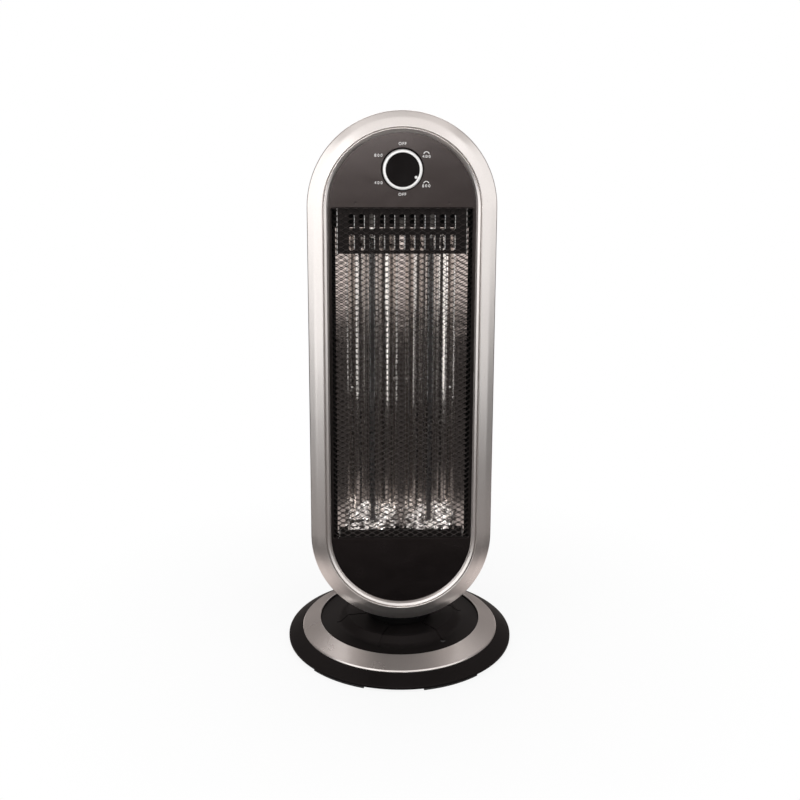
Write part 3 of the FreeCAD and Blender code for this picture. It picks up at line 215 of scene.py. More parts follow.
class Paint:
    """One material: a principled shader with procedural detail in the object's own coordinates."""

    def __init__(self, name, colour, roughness, metallic=0.0, **sockets):
        self.material = bpy.data.materials.new(name)
        self.material.use_nodes = True
        self.tree = self.material.node_tree
        self.shader = self.tree.nodes["Principled BSDF"]
        self.set("Base Color", (*colour, 1.0))
        self.set("Roughness", roughness)
        self.set("Metallic", metallic)
        for socket, value in sockets.items():
            self.set(socket.replace("_", " "), value)
        self.place = self.add("TexCoord").outputs["Object"]

    def set(self, socket, value):
        """A plain value for one of the shader's sockets."""
        self.shader.inputs[socket].default_value = value

    def add(self, kind, **settings):
        """A new node with some of its settings."""
        node = self.tree.nodes.new("ShaderNode" + kind)
        for key, value in settings.items():
            setattr(node, key, value)
        return node

    def link(self, source, target):
        self.tree.links.new(source, target)

    def stretched(self, scale):
        """Coordinates scaled unevenly, for streaks."""
        mapping = self.add("Mapping")
        mapping.inputs["Scale"].default_value = scale
        self.link(self.place, mapping.inputs["Vector"])
        return mapping.outputs["Vector"]

    def noise(self, scale, detail=2.0, distortion=0.0, place=None):
        """Cloudy pattern."""
        node = self.add("TexNoise")
        node.inputs["Scale"].default_value = scale
        node.inputs["Detail"].default_value = detail
        node.inputs["Distortion"].default_value = distortion
        self.link(place or self.place, node.inputs["Vector"])
        return node.outputs["Fac"]

    def cells(self, scale):
        """Pattern of rounded cells."""
        node = self.add("TexVoronoi")
        node.inputs["Scale"].default_value = scale
        self.link(self.place, node.inputs["Vector"])
        return node.outputs["Distance"]

    def wave(self, scale, direction, distortion=0.0):
        """Pattern of parallel bands."""
        node = self.add("TexWave", bands_direction=direction)
        node.inputs["Scale"].default_value = scale
        node.inputs["Distortion"].default_value = distortion
        self.link(self.place, node.inputs["Vector"])
        return node.outputs["Fac"]

    def tint(self, source, low, high, start=PATTERN_LOW, end=PATTERN_HIGH):
        """Base colour that runs between two colours with a pattern."""
        ramp = self.add("ValToRGB")
        ramp.color_ramp.elements[0].position = start
        ramp.color_ramp.elements[0].color = (*low, 1.0)
        ramp.color_ramp.elements[1].position = end
        ramp.color_ramp.elements[1].color = (*high, 1.0)
        self.link(source, ramp.inputs["Fac"])
        self.link(ramp.outputs["Color"], self.shader.inputs["Base Color"])

    def rough(self, source, low, high):
        """Roughness that runs between two values with a pattern."""
        spread_out = self.fade(source, PATTERN_LOW, PATTERN_HIGH, low, high)
        self.link(spread_out, self.shader.inputs["Roughness"])

    def fade(self, source, low, high, at_low=0.0, at_high=1.0):
        """A value that runs evenly from one end of a stretch to the other."""
        node = self.add("MapRange")
        node.inputs["From Min"].default_value = low
        node.inputs["From Max"].default_value = high
        node.inputs["To Min"].default_value = at_low
        node.inputs["To Max"].default_value = at_high
        self.link(source, node.inputs["Value"])
        return node.outputs["Result"]

    def times(self, first, second):
        """Product of two values."""
        node = self.add("Math", operation="MULTIPLY")
        self.link(first, node.inputs[0])
        self.link(second, node.inputs[1])
        return node.outputs[0]

    def from_axis(self, point, axis):
        """Distance from an axis through a point."""
        away = self.add("VectorMath", operation="SUBTRACT")
        away.inputs[1].default_value = point
        self.link(self.place, away.inputs[0])
        turned = self.add("VectorMath", operation="CROSS_PRODUCT")
        turned.inputs[1].default_value = axis
        self.link(away.outputs["Vector"], turned.inputs[0])
        length = self.add("VectorMath", operation="LENGTH")
        self.link(turned.outputs["Vector"], length.inputs[0])
        return length.outputs["Value"]

    def height(self):
        """Height above the floor."""
        split = self.add("SeparateXYZ")
        self.link(self.place, split.inputs[0])
        return split.outputs["Z"]

    def bump(self, source, strength, height):
        """Relief on top of any laid before."""
        node = self.add("Bump")
        node.inputs["Strength"].default_value = strength
        node.inputs["Distance"].default_value = height
        self.link(source, node.inputs["Height"])
        if self.shader.inputs["Normal"].links:
            self.link(self.shader.inputs["Normal"].links[0].from_socket, node.inputs["Normal"])
        self.link(node.outputs["Normal"], self.shader.inputs["Normal"])


def satin_silver():
    """Silver paint with fine metal flakes."""
    paint = Paint("satin_silver", (0.67, 0.64, 0.62), 0.29, 0.95)
    flakes = paint.noise(900, 2.0)
    paint.tint(flakes, (0.65, 0.62, 0.6), (0.69, 0.66, 0.64))
    paint.rough(paint.noise(14, 3.0), 0.27, 0.31)
    paint.bump(flakes, 0.08, 0.1 * MM)
    return paint.material


def ring_silver():
    """The base ring's silver, a little more worn than the frame's."""
    paint = Paint("ring_silver", (0.66, 0.63, 0.61), 0.29, 0.95)
    flakes = paint.noise(900, 2.0)
    paint.tint(flakes, (0.64, 0.61, 0.59), (0.68, 0.65, 0.63))
    paint.rough(paint.noise(14, 3.0), 0.26, 0.32)
    return paint.material


def knob_silver():
    """Bright plating on the knob's ring and pointer."""
    paint = Paint("knob_silver", (0.76, 0.755, 0.745), 0.38, 0.4)
    grain = paint.noise(900, 2.0)
    paint.tint(grain, (0.72, 0.715, 0.705), (0.8, 0.795, 0.785))
    paint.rough(grain, 0.34, 0.44)
    return paint.material


def knob_black():
    """The knob's face, smoother and darker than the panel round it."""
    paint = Paint("knob_black", (0.005, 0.0042, 0.0043), 0.11, Specular_IOR_Level=0.1)
    polish_and_painted_shade = paint.noise(60, 3.0)
    paint.tint(polish_and_painted_shade, (0.004, 0.0033, 0.0034), (0.006, 0.005, 0.0052))
    paint.rough(polish_and_painted_shade, 0.08, 0.14)
    return paint.material


def black_panel():
    """Semi-gloss black moulding with a fine grain and faint wiping marks; its gloss is turned down as painted
    shade in the well round the knob and towards its bottom.
    """
    paint = Paint("black_panel", (0.006, 0.0048, 0.0048), 0.21, Specular_IOR_Level=0.6)
    paint.set("Specular Tint", WARM)
    wiped = paint.noise(16, 4.0, 1.2, paint.stretched((1.0, 1.0, 2.5)))
    paint.tint(wiped, (0.0045, 0.0036, 0.0036), (0.0075, 0.006, 0.006))
    paint.rough(wiped, 0.18, 0.24)
    # Painted shade: no gloss in the knob's well, and less gloss low on the panel
    outside_painted_well_shade = paint.fade(paint.from_axis(KNOB_CENTRE, FORWARD), WELL_RADIUS, WELL_RADIUS + WELL_SHADE_EDGE)
    polish_and_painted_shade = paint.fade(paint.height(), *PANEL_PAINTED_SHADE)
    paint.link(paint.times(outside_painted_well_shade, polish_and_painted_shade), paint.shader.inputs["Specular IOR Level"])
    paint.bump(paint.noise(1500, 2.0), 0.1, 0.1 * MM)
    return paint.material


def black_case():
    """Matt black moulding with a spark-eroded grain."""
    paint = Paint("black_case", (0.018, 0.0172, 0.017), 0.6, Specular_IOR_Level=0.3)
    paint.tint(paint.noise(30, 3.0), (0.015, 0.0143, 0.0141), (0.021, 0.02, 0.0198))
    paint.rough(paint.noise(120, 3.0), 0.54, 0.68)
    paint.bump(paint.cells(950), 0.35, 0.25 * MM)
    return paint.material


def neck_black_painted_shade():
    """The neck's matt black, painted far darker than the case as painted shade under the head."""
    paint = Paint("neck_black_painted_shade", (0.002, 0.0018, 0.0018), 0.7, Specular_IOR_Level=0.06)
    paint.tint(paint.noise(30, 3.0), (0.0015, 0.0014, 0.0014), (0.003, 0.0027, 0.0027))
    paint.bump(paint.cells(950), 0.35, 0.25 * MM)
    return paint.material


def black_base():
    """Black moulding of the base, a little glossier where hands wipe it."""
    paint = Paint("black_base", (0.0045, 0.0038, 0.0039), 0.5, Specular_IOR_Level=0.15)
    paint.set("Specular Tint", WARM)
    wiped = paint.noise(20, 4.0, 0.8)
    paint.tint(wiped, (0.0035, 0.003, 0.003), (0.0055, 0.0047, 0.0048))
    paint.rough(wiped, 0.44, 0.56)
    paint.bump(paint.noise(1300, 2.0), 0.12, 0.12 * MM)
    return paint.material


def black_steel():
    """Heat-resistant black paint on sheet steel, with a slight orange peel."""
    paint = Paint("black_steel", (0.008, 0.008, 0.008), 0.4)
    peel = paint.noise(700, 2.0)
    paint.tint(peel, (0.005, 0.005, 0.005), (0.011, 0.011, 0.011))
    paint.rough(peel, 0.32, 0.48)
    paint.bump(peel, 0.15, 0.08 * MM)
    return paint.material


def guard_steel():
    """Black enamel on the guard's strands, glossier than the plates behind them."""
    paint = Paint("guard_steel", (0.005, 0.0045, 0.0043), 0.3, Specular_IOR_Level=0.4)
    paint.set("Specular Tint", WARM)
    peel = paint.noise(900, 2.0)
    paint.tint(peel, (0.004, 0.0036, 0.0034), (0.006, 0.0054, 0.0052))
    paint.rough(peel, 0.26, 0.36)
    paint.bump(peel, 0.1, 0.05 * MM)
    return paint.material


def shield_steel():
    """The shields' black paint, worn to bare metal on their punched and folded sides."""
    paint = Paint("shield_steel", (0.005, 0.0045, 0.0043), 0.4, Specular_IOR_Level=0.12)
    paint.set("Specular Tint", WARM)
    normal = paint.add("SeparateXYZ")
    paint.link(paint.add("TexCoord").outputs["Normal"], normal.inputs[0])
    sideways = paint.add("Math", operation="ABSOLUTE")
    paint.link(normal.outputs["X"], sideways.inputs[0])
    paint.tint(sideways.outputs[0], (0.005, 0.0045, 0.0043), (0.8, 0.77, 0.75), BARE_FROM, BARE_TO)
    paint.link(paint.fade(sideways.outputs[0], BARE_FROM, BARE_TO), paint.shader.inputs["Metallic"])
    peel = paint.noise(700, 2.0)
    paint.rough(peel, 0.32, 0.48)
    paint.bump(peel, 0.15, 0.08 * MM)
    return paint.material


def bright_sheet():
    """Polished aluminium sheet, drawn lines along it and slow waves from bending."""
    paint = Paint("bright_sheet", (0.88, 0.84, 0.81), 0.14, 1.0)
    drawn = paint.noise(900, 2.0, 0.0, paint.stretched((1.0, 1.0, 0.04)))
    paint.tint(drawn, (0.82, 0.78, 0.75), (0.93, 0.89, 0.86))
    paint.rough(drawn, 0.06, 0.12)
    paint.bump(paint.noise(55, 2.0, 0.6), 0.2, 0.6 * MM)
    return paint.material


def crumpled_sheet():
    """Bright aluminium foil, pressed into creases."""
    paint = Paint("crumpled_sheet", (0.9, 0.86, 0.83), 0.16, 1.0)
    creases = paint.noise(130, 1.0, 0.8)
    paint.tint(creases, (0.86, 0.82, 0.79), (0.94, 0.9, 0.87))
    paint.rough(creases, 0.12, 0.22)
    paint.bump(creases, 0.8, 2.0 * MM)
    return paint.material


def plated_steel():
    """Zinc plating with a faint yellow and blue cast."""
    paint = Paint("plated_steel", (0.6, 0.6, 0.59), 0.34, 1.0)
    cast = paint.noise(60, 3.0)
    paint.tint(cast, (0.54, 0.55, 0.57), (0.64, 0.63, 0.59))
    paint.rough(paint.noise(400, 2.0), 0.28, 0.42)
    return paint.material


def quartz():
    """Clear quartz tube with faint drawing lines."""
    paint = Paint("quartz", (0.98, 0.98, 0.97), 0.03, IOR=1.458)
    paint.set("Transmission Weight", 1.0)
    drawn = paint.noise(500, 2.0, 0.0, paint.stretched((1.0, 1.0, 0.02)))
    paint.tint(drawn, (0.96, 0.95, 0.94), (0.99, 0.99, 0.98))
    paint.bump(drawn, 0.04, 0.05 * MM)
    return paint.material


def carbon():
    """Woven carbon fibre ribbon."""
    paint = Paint("carbon", (0.03, 0.03, 0.03), 0.45)
    weave = paint.wave(700, "DIAGONAL")
    paint.tint(weave, (0.012, 0.012, 0.012), (0.05, 0.05, 0.052))
    paint.rough(weave, 0.32, 0.55)
    paint.bump(weave, 0.5, 0.2 * MM)
    return paint.material


def ceramic():
    """Brown-grey steatite with fine specks; its very dark tone is painted shade for the caps deep inside the head.
    """
    paint = Paint("ceramic", (0.08, 0.07, 0.062), 0.5)
    specks = paint.noise(900, 3.0)
    paint.tint(specks, (0.055, 0.048, 0.043), (0.1, 0.088, 0.078), 0.35, 0.5)
    paint.bump(specks, 0.1, 0.1 * MM)
    return paint.material


def nylon():
    """Natural nylon, slightly milky."""
    paint = Paint("nylon", (0.74, 0.71, 0.64), 0.42)
    milk = paint.noise(40, 3.0)
    paint.tint(milk, (0.68, 0.65, 0.58), (0.77, 0.74, 0.67))
    paint.rough(milk, 0.36, 0.5)
    return paint.material


def wire():
    """Braided heat-resistant sleeve."""
    paint = Paint("wire", (0.5, 0.46, 0.41), 0.75)
    braid = paint.wave(420, "DIAGONAL", 1.0)
    paint.tint(braid, (0.36, 0.33, 0.29), (0.58, 0.54, 0.48))
    paint.bump(braid, 0.6, 0.2 * MM)
    return paint.material


def rubber():
    """Soft black rubber with a dusty grain."""
    paint = Paint("rubber", (0.02, 0.02, 0.02), 0.75)
    dust = paint.noise(500, 4.0)
    paint.tint(dust, (0.014, 0.014, 0.014), (0.032, 0.031, 0.03))
    paint.bump(dust, 0.25, 0.15 * MM)
    return paint.material


def print_white():
    """White pad print, a little uneven."""
    paint = Paint("print_white", (0.86, 0.85, 0.84), 0.5)
    paint.tint(paint.noise(2000, 2.0), (0.8, 0.79, 0.78), (0.9, 0.89, 0.88))
    return paint.material


def moulded_mark_painted_highlight():
    """A glossier patch of the base's black, painted lighter as a painted highlight on the moulded mark."""
    paint = Paint("moulded_mark_painted_highlight", (0.05, 0.05, 0.05), 0.3)
    paint.tint(paint.noise(800, 2.0), (0.04, 0.04, 0.04), (0.06, 0.06, 0.06))
    return paint.material


MAKERS = (
    satin_silver, knob_silver, black_panel, black_case, black_base, black_steel, bright_sheet,
    plated_steel, quartz, carbon, ceramic, nylon, wire, rubber,
)
materials = {maker.__name__: maker() for maker in MAKERS}
shields = shield_steel()
own_looks = {
    "knob_dial": knob_black(),
    "neck_collar": neck_black_painted_shade(),
    "heat_shield": shields,
    "lower_shield": shields,
    "base_trim_ring": ring_silver(),
}


def dress_nodes():
    """Every CAD node takes its own look where it has one, and otherwise the material of its slot."""
    for part in frame["record"]["subparts"]:
        node = frame["nodes"][part["node"]]
        material = own_looks.get(part["node"], materials[part["material_slot"]])
        for slot in node.material_slots:
            slot.material = material
        if not node.material_slots:
            node.data.materials.append(material)


def new_piece(name, vertices, faces, material, body):
    """A mesh in the shared frame that rides on a body."""
    mesh = bpy.data.meshes.new(name)
    mesh.from_pydata([tuple(v) for v in vertices], [], faces)
    mesh.validate()
    mesh.materials.append(material)
    piece = bpy.data.objects.new(name, mesh)
    bpy.context.scene.collection.objects.link(piece)
    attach(piece, body)
    return piece


def sweep_section(path, corners):
    """Vertices and quads of a bar: four corners set round each point of a path, closed at both ends."""
    vertices = [point + corner for point in path for corner in corners]
    faces = [(0, 1, 2, 3)]
    for i in range(len(path) - 1):
        for j in range(4):
            k = (j + 1) % 4
            faces.append((4 * i + j, 4 * i + 4 + j, 4 * i + 4 + k, 4 * i + k))
    last = 4 * (len(path) - 1)
    faces.append((last + 3, last + 2, last + 1, last))
    return vertices, faces


def join_shapes(shapes):
    """Vertices and faces of many shapes as one."""
    vertices, faces = [], []
    for some_vertices, some_faces in shapes:
        start = len(vertices)
        vertices.extend(some_vertices)
        faces.extend(tuple(start + i for i in face) for face in some_faces)
    return vertices, faces


def strand(row, columns, left, level):
    """One strand across the guard: it steps between the knuckles below it and those above it."""
    long_way, short_way = STRAND_PITCH
    in_plane = STRAND_WIDTH * math.cos(STRAND_TILT)
    through = STRAND_WIDTH * math.sin(STRAND_TILT)
    path = []
    for step in range(2 * columns + 1):
        across = left + step * long_way / 2
        raised = (step + row) % 2
        up = level + (short_way / 2 - in_plane / 2 if raised else in_plane / 2)
        deep = -through / 2 if raised else through / 2
        for end in (-KNUCKLE_LENGTH / 2, KNUCKLE_LENGTH / 2):
            path.append(Vector((across + end, deep, up)))
    wide = Vector((0, math.sin(STRAND_TILT), math.cos(STRAND_TILT))) * STRAND_WIDTH / 2
    thick = Vector((0, math.cos(STRAND_TILT), -math.sin(STRAND_TILT))) * STRAND_THICKNESS / 2
    return sweep_section(path, (wide + thick, wide - thick, -wide - thick, thick - wide))


def border(half_width, half_height):
    """The guard's plain edge, hidden behind the panel: four mitred strips."""
    inner = [(x * (half_width - GUARD_BORDER), z * (half_height - GUARD_BORDER)) for x, z in CORNERS]
    outer = [(x * half_width, z * half_height) for x, z in CORNERS]
    vertices = []
    for deep in (-STRAND_THICKNESS / 2, STRAND_THICKNESS / 2):
        vertices.extend(Vector((x, deep, z)) for x, z in inner + outer)
    faces = []
    for i in range(4):
        j = (i + 1) % 4
        faces.append((i, 4 + i, 4 + j, j))
        faces.append((8 + i, 8 + j, 12 + j, 12 + i))
        faces.append((4 + i, 12 + i, 12 + j, 4 + j))
        faces.append((i, j, 8 + j, 8 + i))
    return vertices, faces


def expanded_guard():
    """The fine expanded metal, in place of the CAD guard's coarse diamonds."""
    low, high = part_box("mesh_guard")
    half_width = (high.x - low.x) / 2
    half_height = (high.z - low.z) / 2 / math.cos(LEAN)
    centre = middle_of("mesh_guard") + Vector((0, GUARD_SET_BACK, 0))
    long_way, short_way = STRAND_PITCH
    columns = int(2 * (half_width - GUARD_BORDER / 2) / long_way)
    rows = int(2 * (half_height - GUARD_BORDER / 2) / (short_way / 2))
    left = -columns * long_way / 2
    bottom = -rows * short_way / 4
    shapes = [strand(row, columns, left, bottom + row * short_way / 2) for row in range(rows)]
    shapes.append(border(half_width, half_height))
    vertices, faces = join_shapes(shapes)
    placed = HEAD @ Matrix.Translation(centre)
    piece = new_piece("expanded_metal_guard", [placed @ v for v in vertices], faces, guard_steel(), "head")
    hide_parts("mesh_guard")


def text_shape(words, size, spacing):
    """Flat lettering about its own middle, in the XY plane."""
    curve = bpy.data.curves.new("words", "FONT")
    curve.body = words
    curve.size = size
    curve.space_character = spacing
    curve.align_x = "CENTER"
    curve.align_y = "CENTER"
    curve.extrude = PRINT_THICKNESS
    holder = bpy.data.objects.new("words", curve)
    bpy.context.scene.collection.objects.link(holder)
    bpy.context.view_layer.update()
    mesh = bpy.data.meshes.new_from_object(holder.evaluated_get(bpy.context.evaluated_depsgraph_get()))
    vertices = [vertex.co.copy() for vertex in mesh.vertices]
    faces = [tuple(polygon.vertices) for polygon in mesh.polygons]
    bpy.data.objects.remove(holder)
    bpy.data.curves.remove(curve)
    bpy.data.meshes.remove(mesh)
    return vertices, faces


def moved(shape, matrix):
    """A shape put in another place."""
    vertices, faces = shape
    return [matrix @ v for v in vertices], faces


def swing_sign(width):
    """A small arc with an arrow head at each end, for the settings that swing."""
    steps = 12
    radius = width / 2
    half_line = SIGN_HALF_LINE * width
    path = []
    for i in range(steps + 1):
        turn = math.radians(SIGN_FIRST_ANGLE + SIGN_SWEEP * i / steps)
        path.append((math.cos(turn), math.sin(turn)))
    vertices = []
    for x, y in path:
        for reach in (radius - half_line, radius + half_line):
            vertices.append(Vector((reach * x, reach * y, PRINT_THICKNESS)))
    faces = [(2 * i, 2 * i + 1, 2 * i + 3, 2 * i + 2) for i in range(steps)]
    for (x, y), side in ((path[0], 1), (path[-1], -1)):
        start = len(vertices)
        for reach in (radius - ARROW_HALF_LINES * half_line, radius + ARROW_HALF_LINES * half_line):
            vertices.append(Vector((reach * x, reach * y, PRINT_THICKNESS)))
        out, down = ARROW_TIP
        vertices.append(Vector((radius * x + side * out * width, radius * y - down * width, PRINT_THICKNESS)))
        faces.append((start, start + 1, start + 2) if side < 0 else (start, start + 2, start + 1))
    return vertices, faces


def dial_marks():
    """Printed settings round the knob: off above and below, plain numbers at the sides."""
    panel_front = depth_of("front_panel")[0]
    face = HEAD @ Matrix.Translation((0, panel_front, 0)) @ Matrix.Rotation(math.pi / 2, 4, "X")
    shapes = []
    off = text_shape("OFF", LABEL_SIZE, WORD_SPACING)
    for up in (LABEL_RADIUS, -LABEL_RADIUS):
        shapes.append(moved(off, face @ Matrix.Translation((0, up, 0))))
    numbers = (
        ("800", -NUMBER_ACROSS, NUMBER_UP),
        ("400", -NUMBER_ACROSS, -NUMBER_UP),
        ("400", NUMBER_ACROSS, SIGN_UP - SIGN_STEP),
        ("800", NUMBER_ACROSS, -SIGN_UP - SIGN_STEP),
    )
    for words, across, up in numbers:
        number = text_shape(words, LABEL_SIZE, NUMBER_SPACING)
        shapes.append(moved(number, face @ Matrix.Translation((across, up, 0))))
    for up in (SIGN_UP, -SIGN_UP):
        shapes.append(moved(swing_sign(SIGN_WIDTH), face @ Matrix.Translation((NUMBER_ACROSS, up, 0))))
    vertices, faces = join_shapes(shapes)
    new_piece("dial_marks", vertices, faces, print_white(), "head")


def dome(radius, height, rings=5, around=20):
    """A low dome with its rim in the XY plane, rising along +Z."""
    vertices = []
    for i in range(rings):
        turn = math.pi / 2 * i / rings
        for j in range(around):
            spin = 2 * math.pi * j / around
            vertices.append(Vector((radius * math.cos(turn) * math.cos(spin),
                                    radius * math.cos(turn) * math.sin(spin), height * math.sin(turn))))
    vertices.append(Vector((0, 0, height)))
    faces = [tuple(reversed(range(around)))]
    for i in range(rings - 1):
        for j in range(around):
            k = (j + 1) % around
            faces.append((i * around + j, i * around + k, i * around + around + k, i * around + around + j))
    top = len(vertices) - 1
    start = (rings - 1) * around
    faces.extend((start + j, start + (j + 1) % around, top) for j in range(around))
    return vertices, faces


def surface_at(name, across, up):
    """First point of a node behind a place on the head, and the face's normal there."""
    start = HEAD @ Vector((across, -IN_FRONT, up))
    _, point, normal, _ = frame["nodes"][name].ray_cast(start, -FORWARD)
    return point, normal


def reflector_rivets():
    """Two rivet heads on the outer flanks of the reflector."""
    guard_middle = middle_of("mesh_guard")
    shapes = []
    for side in (-1, 1):
        point, normal = surface_at("reflector", side * RIVET_ACROSS, guard_middle.z - RIVET_DROP)
        turned = normal.to_track_quat("Z", "Y").to_matrix().to_4x4()
        shapes.append(moved(dome(RIVET_RADIUS, 0.5 * RIVET_RADIUS), Matrix.Translation(point) @ turned))
    vertices, faces = join_shapes(shapes)
    new_piece("reflector_rivets", vertices, faces, materials["plated_steel"], "head")


def round_bar(path, radius, around=8):
    """Vertices and faces of a round bar along a path, closed at both ends."""
    vertices, faces = [], []
    for i, point in enumerate(path):
        ahead = path[min(i + 1, len(path) - 1)] - path[max(i - 1, 0)]
        turned = ahead.to_track_quat("Z", "Y")
        for j in range(around):
            spin = 2 * math.pi * j / around
            vertices.append(point + turned @ Vector((radius * math.cos(spin), radius * math.sin(spin), 0)))
    for i in range(len(path) - 1):
        for j in range(around):
            k = (j + 1) % around
            faces.append((i * around + j, i * around + k, i * around + around + k, i * around + around + j))
    faces.append(tuple(reversed(range(around))))
    faces.append(tuple(range(len(vertices) - around, len(vertices))))
    return vertices, faces


def slot_burrs():
    """Bare rolled edges that the punch leaves along one side of the heat shield's slots."""
    front = depth_of("heat_shield")[0]
    shapes = []
    for up in SLOT_ROWS:
        for i in range(SLOT_COUNT):
            across = (i - (SLOT_COUNT - 1) / 2) * SLOT_PITCH + SLOT_HALF_WIDTH + BURR_RADIUS / 2
            levels = (-SLOT_HALF_LENGTH, 0, SLOT_HALF_LENGTH)
            path = [HEAD @ Vector((across, front, up + level)) for level in levels]
            shapes.append(round_bar(path, BURR_RADIUS))
    vertices, faces = join_shapes(shapes)
    new_piece("slot_burrs", vertices, faces, materials["plated_steel"], "head")


def foot_foil():
    """The crumpled foil that leans from the lower end plate back to the reflector, torn along its top."""
    columns, rows = FOIL_STEPS
    foot = middle_of("lower_end_plate").z + FOIL_START
    nearest = depth_of("lower_shield")[1] + FOIL_CLEAR_OF_SHIELD
    middle, torn, ends = FOIL_SHARES
    vertices = []
    for i in range(columns + 1):
        across = FOIL_HALF_WIDTH * (2 * i / columns - 1)
        tear = noise.noise(Vector((across * TEAR_SCALE, TEAR_SEED, 0)))
        height = FOIL_HEIGHT * (middle + torn * tear + ends * (across / FOIL_HALF_WIDTH) ** 2)
        for j in range(rows + 1):
            share = j / rows
            up = foot + height * share
            point, _ = surface_at("reflector", across, up)
            room = max(0.0, -(point - KNOB_CENTRE).dot(FORWARD) - nearest)
            crease = Vector((across * CREASE_SCALES[0], up * CREASE_SCALES[1], CREASE_SEED))
            crumple = FOIL_CRUMPLE * noise.noise(crease) * min(1.0, (1 - share) / FOIL_SMOOTH_TOP)
            out = (1 - share) * min(FOIL_SLANT, room) + crumple
            vertices.append(point + FORWARD * max(FOIL_CLEAR_OF_REFLECTOR, min(out, room)))
    count = len(vertices)
    vertices += [vertex - FORWARD * FOIL_THICKNESS for vertex in vertices]
    faces = []
    for i in range(columns):
        for j in range(rows):
            a, b = i * (rows + 1) + j, (i + 1) * (rows + 1) + j
            faces.append((a, b, b + 1, a + 1))
            faces.append((count + a + 1, count + b + 1, count + b, count + a))
    rim = [(i, 0) for i in range(columns)] + [(columns, j) for j in range(rows)]
    rim += [(columns - i, rows) for i in range(columns)] + [(0, rows - j) for j in range(rows)]
    edge = [i * (rows + 1) + j for i, j in rim]
    for a, b in zip(edge, edge[1:] + edge[:1]):
        faces.append((b, a, count + a, count + b))
    new_piece("foot_foil", vertices, faces, crumpled_sheet(), "head")


def tube_lead():
    """The lead that shows in front of the left tube's lower end."""
    placed = HEAD @ Matrix.Translation(middle_of("mesh_guard"))
    start, bend_in, bend_out, end = (placed @ (Vector(point) * MM) for point in LEAD_ROUTE)
    path = interpolate_bezier(start, bend_in, bend_out, end, 12)
    vertices, faces = round_bar(path, LEAD_RADIUS)
    new_piece("tube_lead", vertices, faces, materials["rubber"], "head")


def base_mark():
    """The small moulded pointer on the base's disc."""
    x, y = MARK_PLACE
    above = Vector((x, y, MARK_FROM_ABOVE))
    _, point, _, _ = frame["nodes"]["base_cover"].ray_cast(above, Vector((0, 0, -1)))
    corners = [Vector(corner) * MARK_SIZE for corner in MARK_CORNERS]
    vertices = [point + corner for corner in corners]
    vertices += [point + corner * MARK_TOP + Vector((0, 0, MARK_HEIGHT)) for corner in corners]
    faces = [(3, 5, 4), (0, 1, 4, 3), (1, 2, 5, 4), (2, 0, 3, 5)]
    new_piece("base_pointer_mark", vertices, faces, moulded_mark_painted_highlight(), "base")


def camera():
    """The camera at the photograph's place and angle."""
    cos_p, sin_p = math.cos(CAMERA_PITCH), math.sin(CAMERA_PITCH)
    cos_y, sin_y = math.cos(CAMERA_YAW), math.sin(CAMERA_YAW)
    ahead = Vector((sin_y * cos_p, cos_y * cos_p, -sin_p))
    right = Vector((cos_y, -sin_y, 0))
    up = Vector((sin_y * sin_p, cos_y * sin_p, cos_p))
    rolled_right = right * math.cos(CAMERA_ROLL) + up * math.sin(CAMERA_ROLL)
    rolled_up = up * math.cos(CAMERA_ROLL) - right * math.sin(CAMERA_ROLL)
    data = bpy.data.cameras.new("camera")
    data.lens = CAMERA_LENS
    data.sensor_width = 36
    data.clip_start = 0.01
    eye = bpy.data.objects.new("camera", data)
    turn = Matrix((rolled_right, rolled_up, -ahead)).transposed().to_4x4()
    eye.matrix_world = Matrix.Translation(CAMERA_PLACE) @ turn
    bpy.context.scene.collection.objects.link(eye)
    bpy.context.scene.camera = eye


def area_light(name, place, target, size, power):
    """A soft box that faces a point."""
    data = bpy.data.lights.new(name, "AREA")
    data.shape = "RECTANGLE"
    data.size, data.size_y = size
    data.energy = power
    lamp = bpy.data.objects.new(name, data)
    lamp.location = place
    lamp.rotation_euler = (Vector(target) - Vector(place)).to_track_quat("-Z", "Y").to_euler()
    bpy.context.scene.collection.objects.link(lamp)


def bare_material(name):
    """A material with an empty node tree, for the studio's own pieces."""
    material = bpy.data.materials.new(name)
    material.use_nodes = True
    material.node_tree.nodes.clear()
    return material, material.node_tree


def add_node(tree, kind, **inputs):
    """A shader node with some of its sockets set."""
    node = tree.nodes.new("ShaderNode" + kind)
    for name, value in inputs.items():
        node.inputs[name.replace("_", " ")].default_value = value
    return node


def place_of(tree):
    """The object's own coordinates: the three together, and one by one."""
    place = add_node(tree, "TexCoord").outputs["Object"]
    split = add_node(tree, "SeparateXYZ")
    tree.links.new(place, split.inputs[0])
    return place, split.outputs


def calculated(tree, operation, *sources):
    """A number worked out from others."""
    node = add_node(tree, "Math")
    node.operation = operation
    for source, socket in zip(sources, node.inputs):
        tree.links.new(source, socket)
    return node.outputs[0]


def added(tree, first, second):
    """The light of two shaders together."""
    both = add_node(tree, "AddShader")
    tree.links.new(first.outputs[0], both.inputs[0])
    tree.links.new(second.outputs[0], both.inputs[1])
    return both


def mixed(tree, share, first, second):
    """The first shader where the share is 0, the second where it is 1."""
    mix = add_node(tree, "MixShader")
    tree.links.new(share, mix.inputs["Fac"])
    tree.links.new(first.outputs[0], mix.inputs[1])
    tree.links.new(second.outputs[0], mix.inputs[2])
    return mix


def spread(tree, source, low, high, at_low, at_high):
    """A value that runs evenly between two others."""
    node = add_node(tree, "MapRange", From_Min=low, From_Max=high, To_Min=at_low, To_Max=at_high)
    tree.links.new(source, node.inputs["Value"])
    return node.outputs["Result"]


def room_steps(tree, source, stops):
    """Levels of the room's warm grey along a value, from (position, level) stops."""
    ramp = add_node(tree, "ValToRGB")
    elements = ramp.color_ramp.elements
    elements[0].position, elements[1].position = stops[0][0], stops[-1][0]
    for position, _ in stops[1:-1]:
        elements.new(position)
    for element, (_, level) in zip(elements, stops):
        element.color = (*(level * share for share in ROOM_TINT), 1)
    tree.links.new(source, ramp.inputs["Fac"])
    return ramp.outputs["Color"]


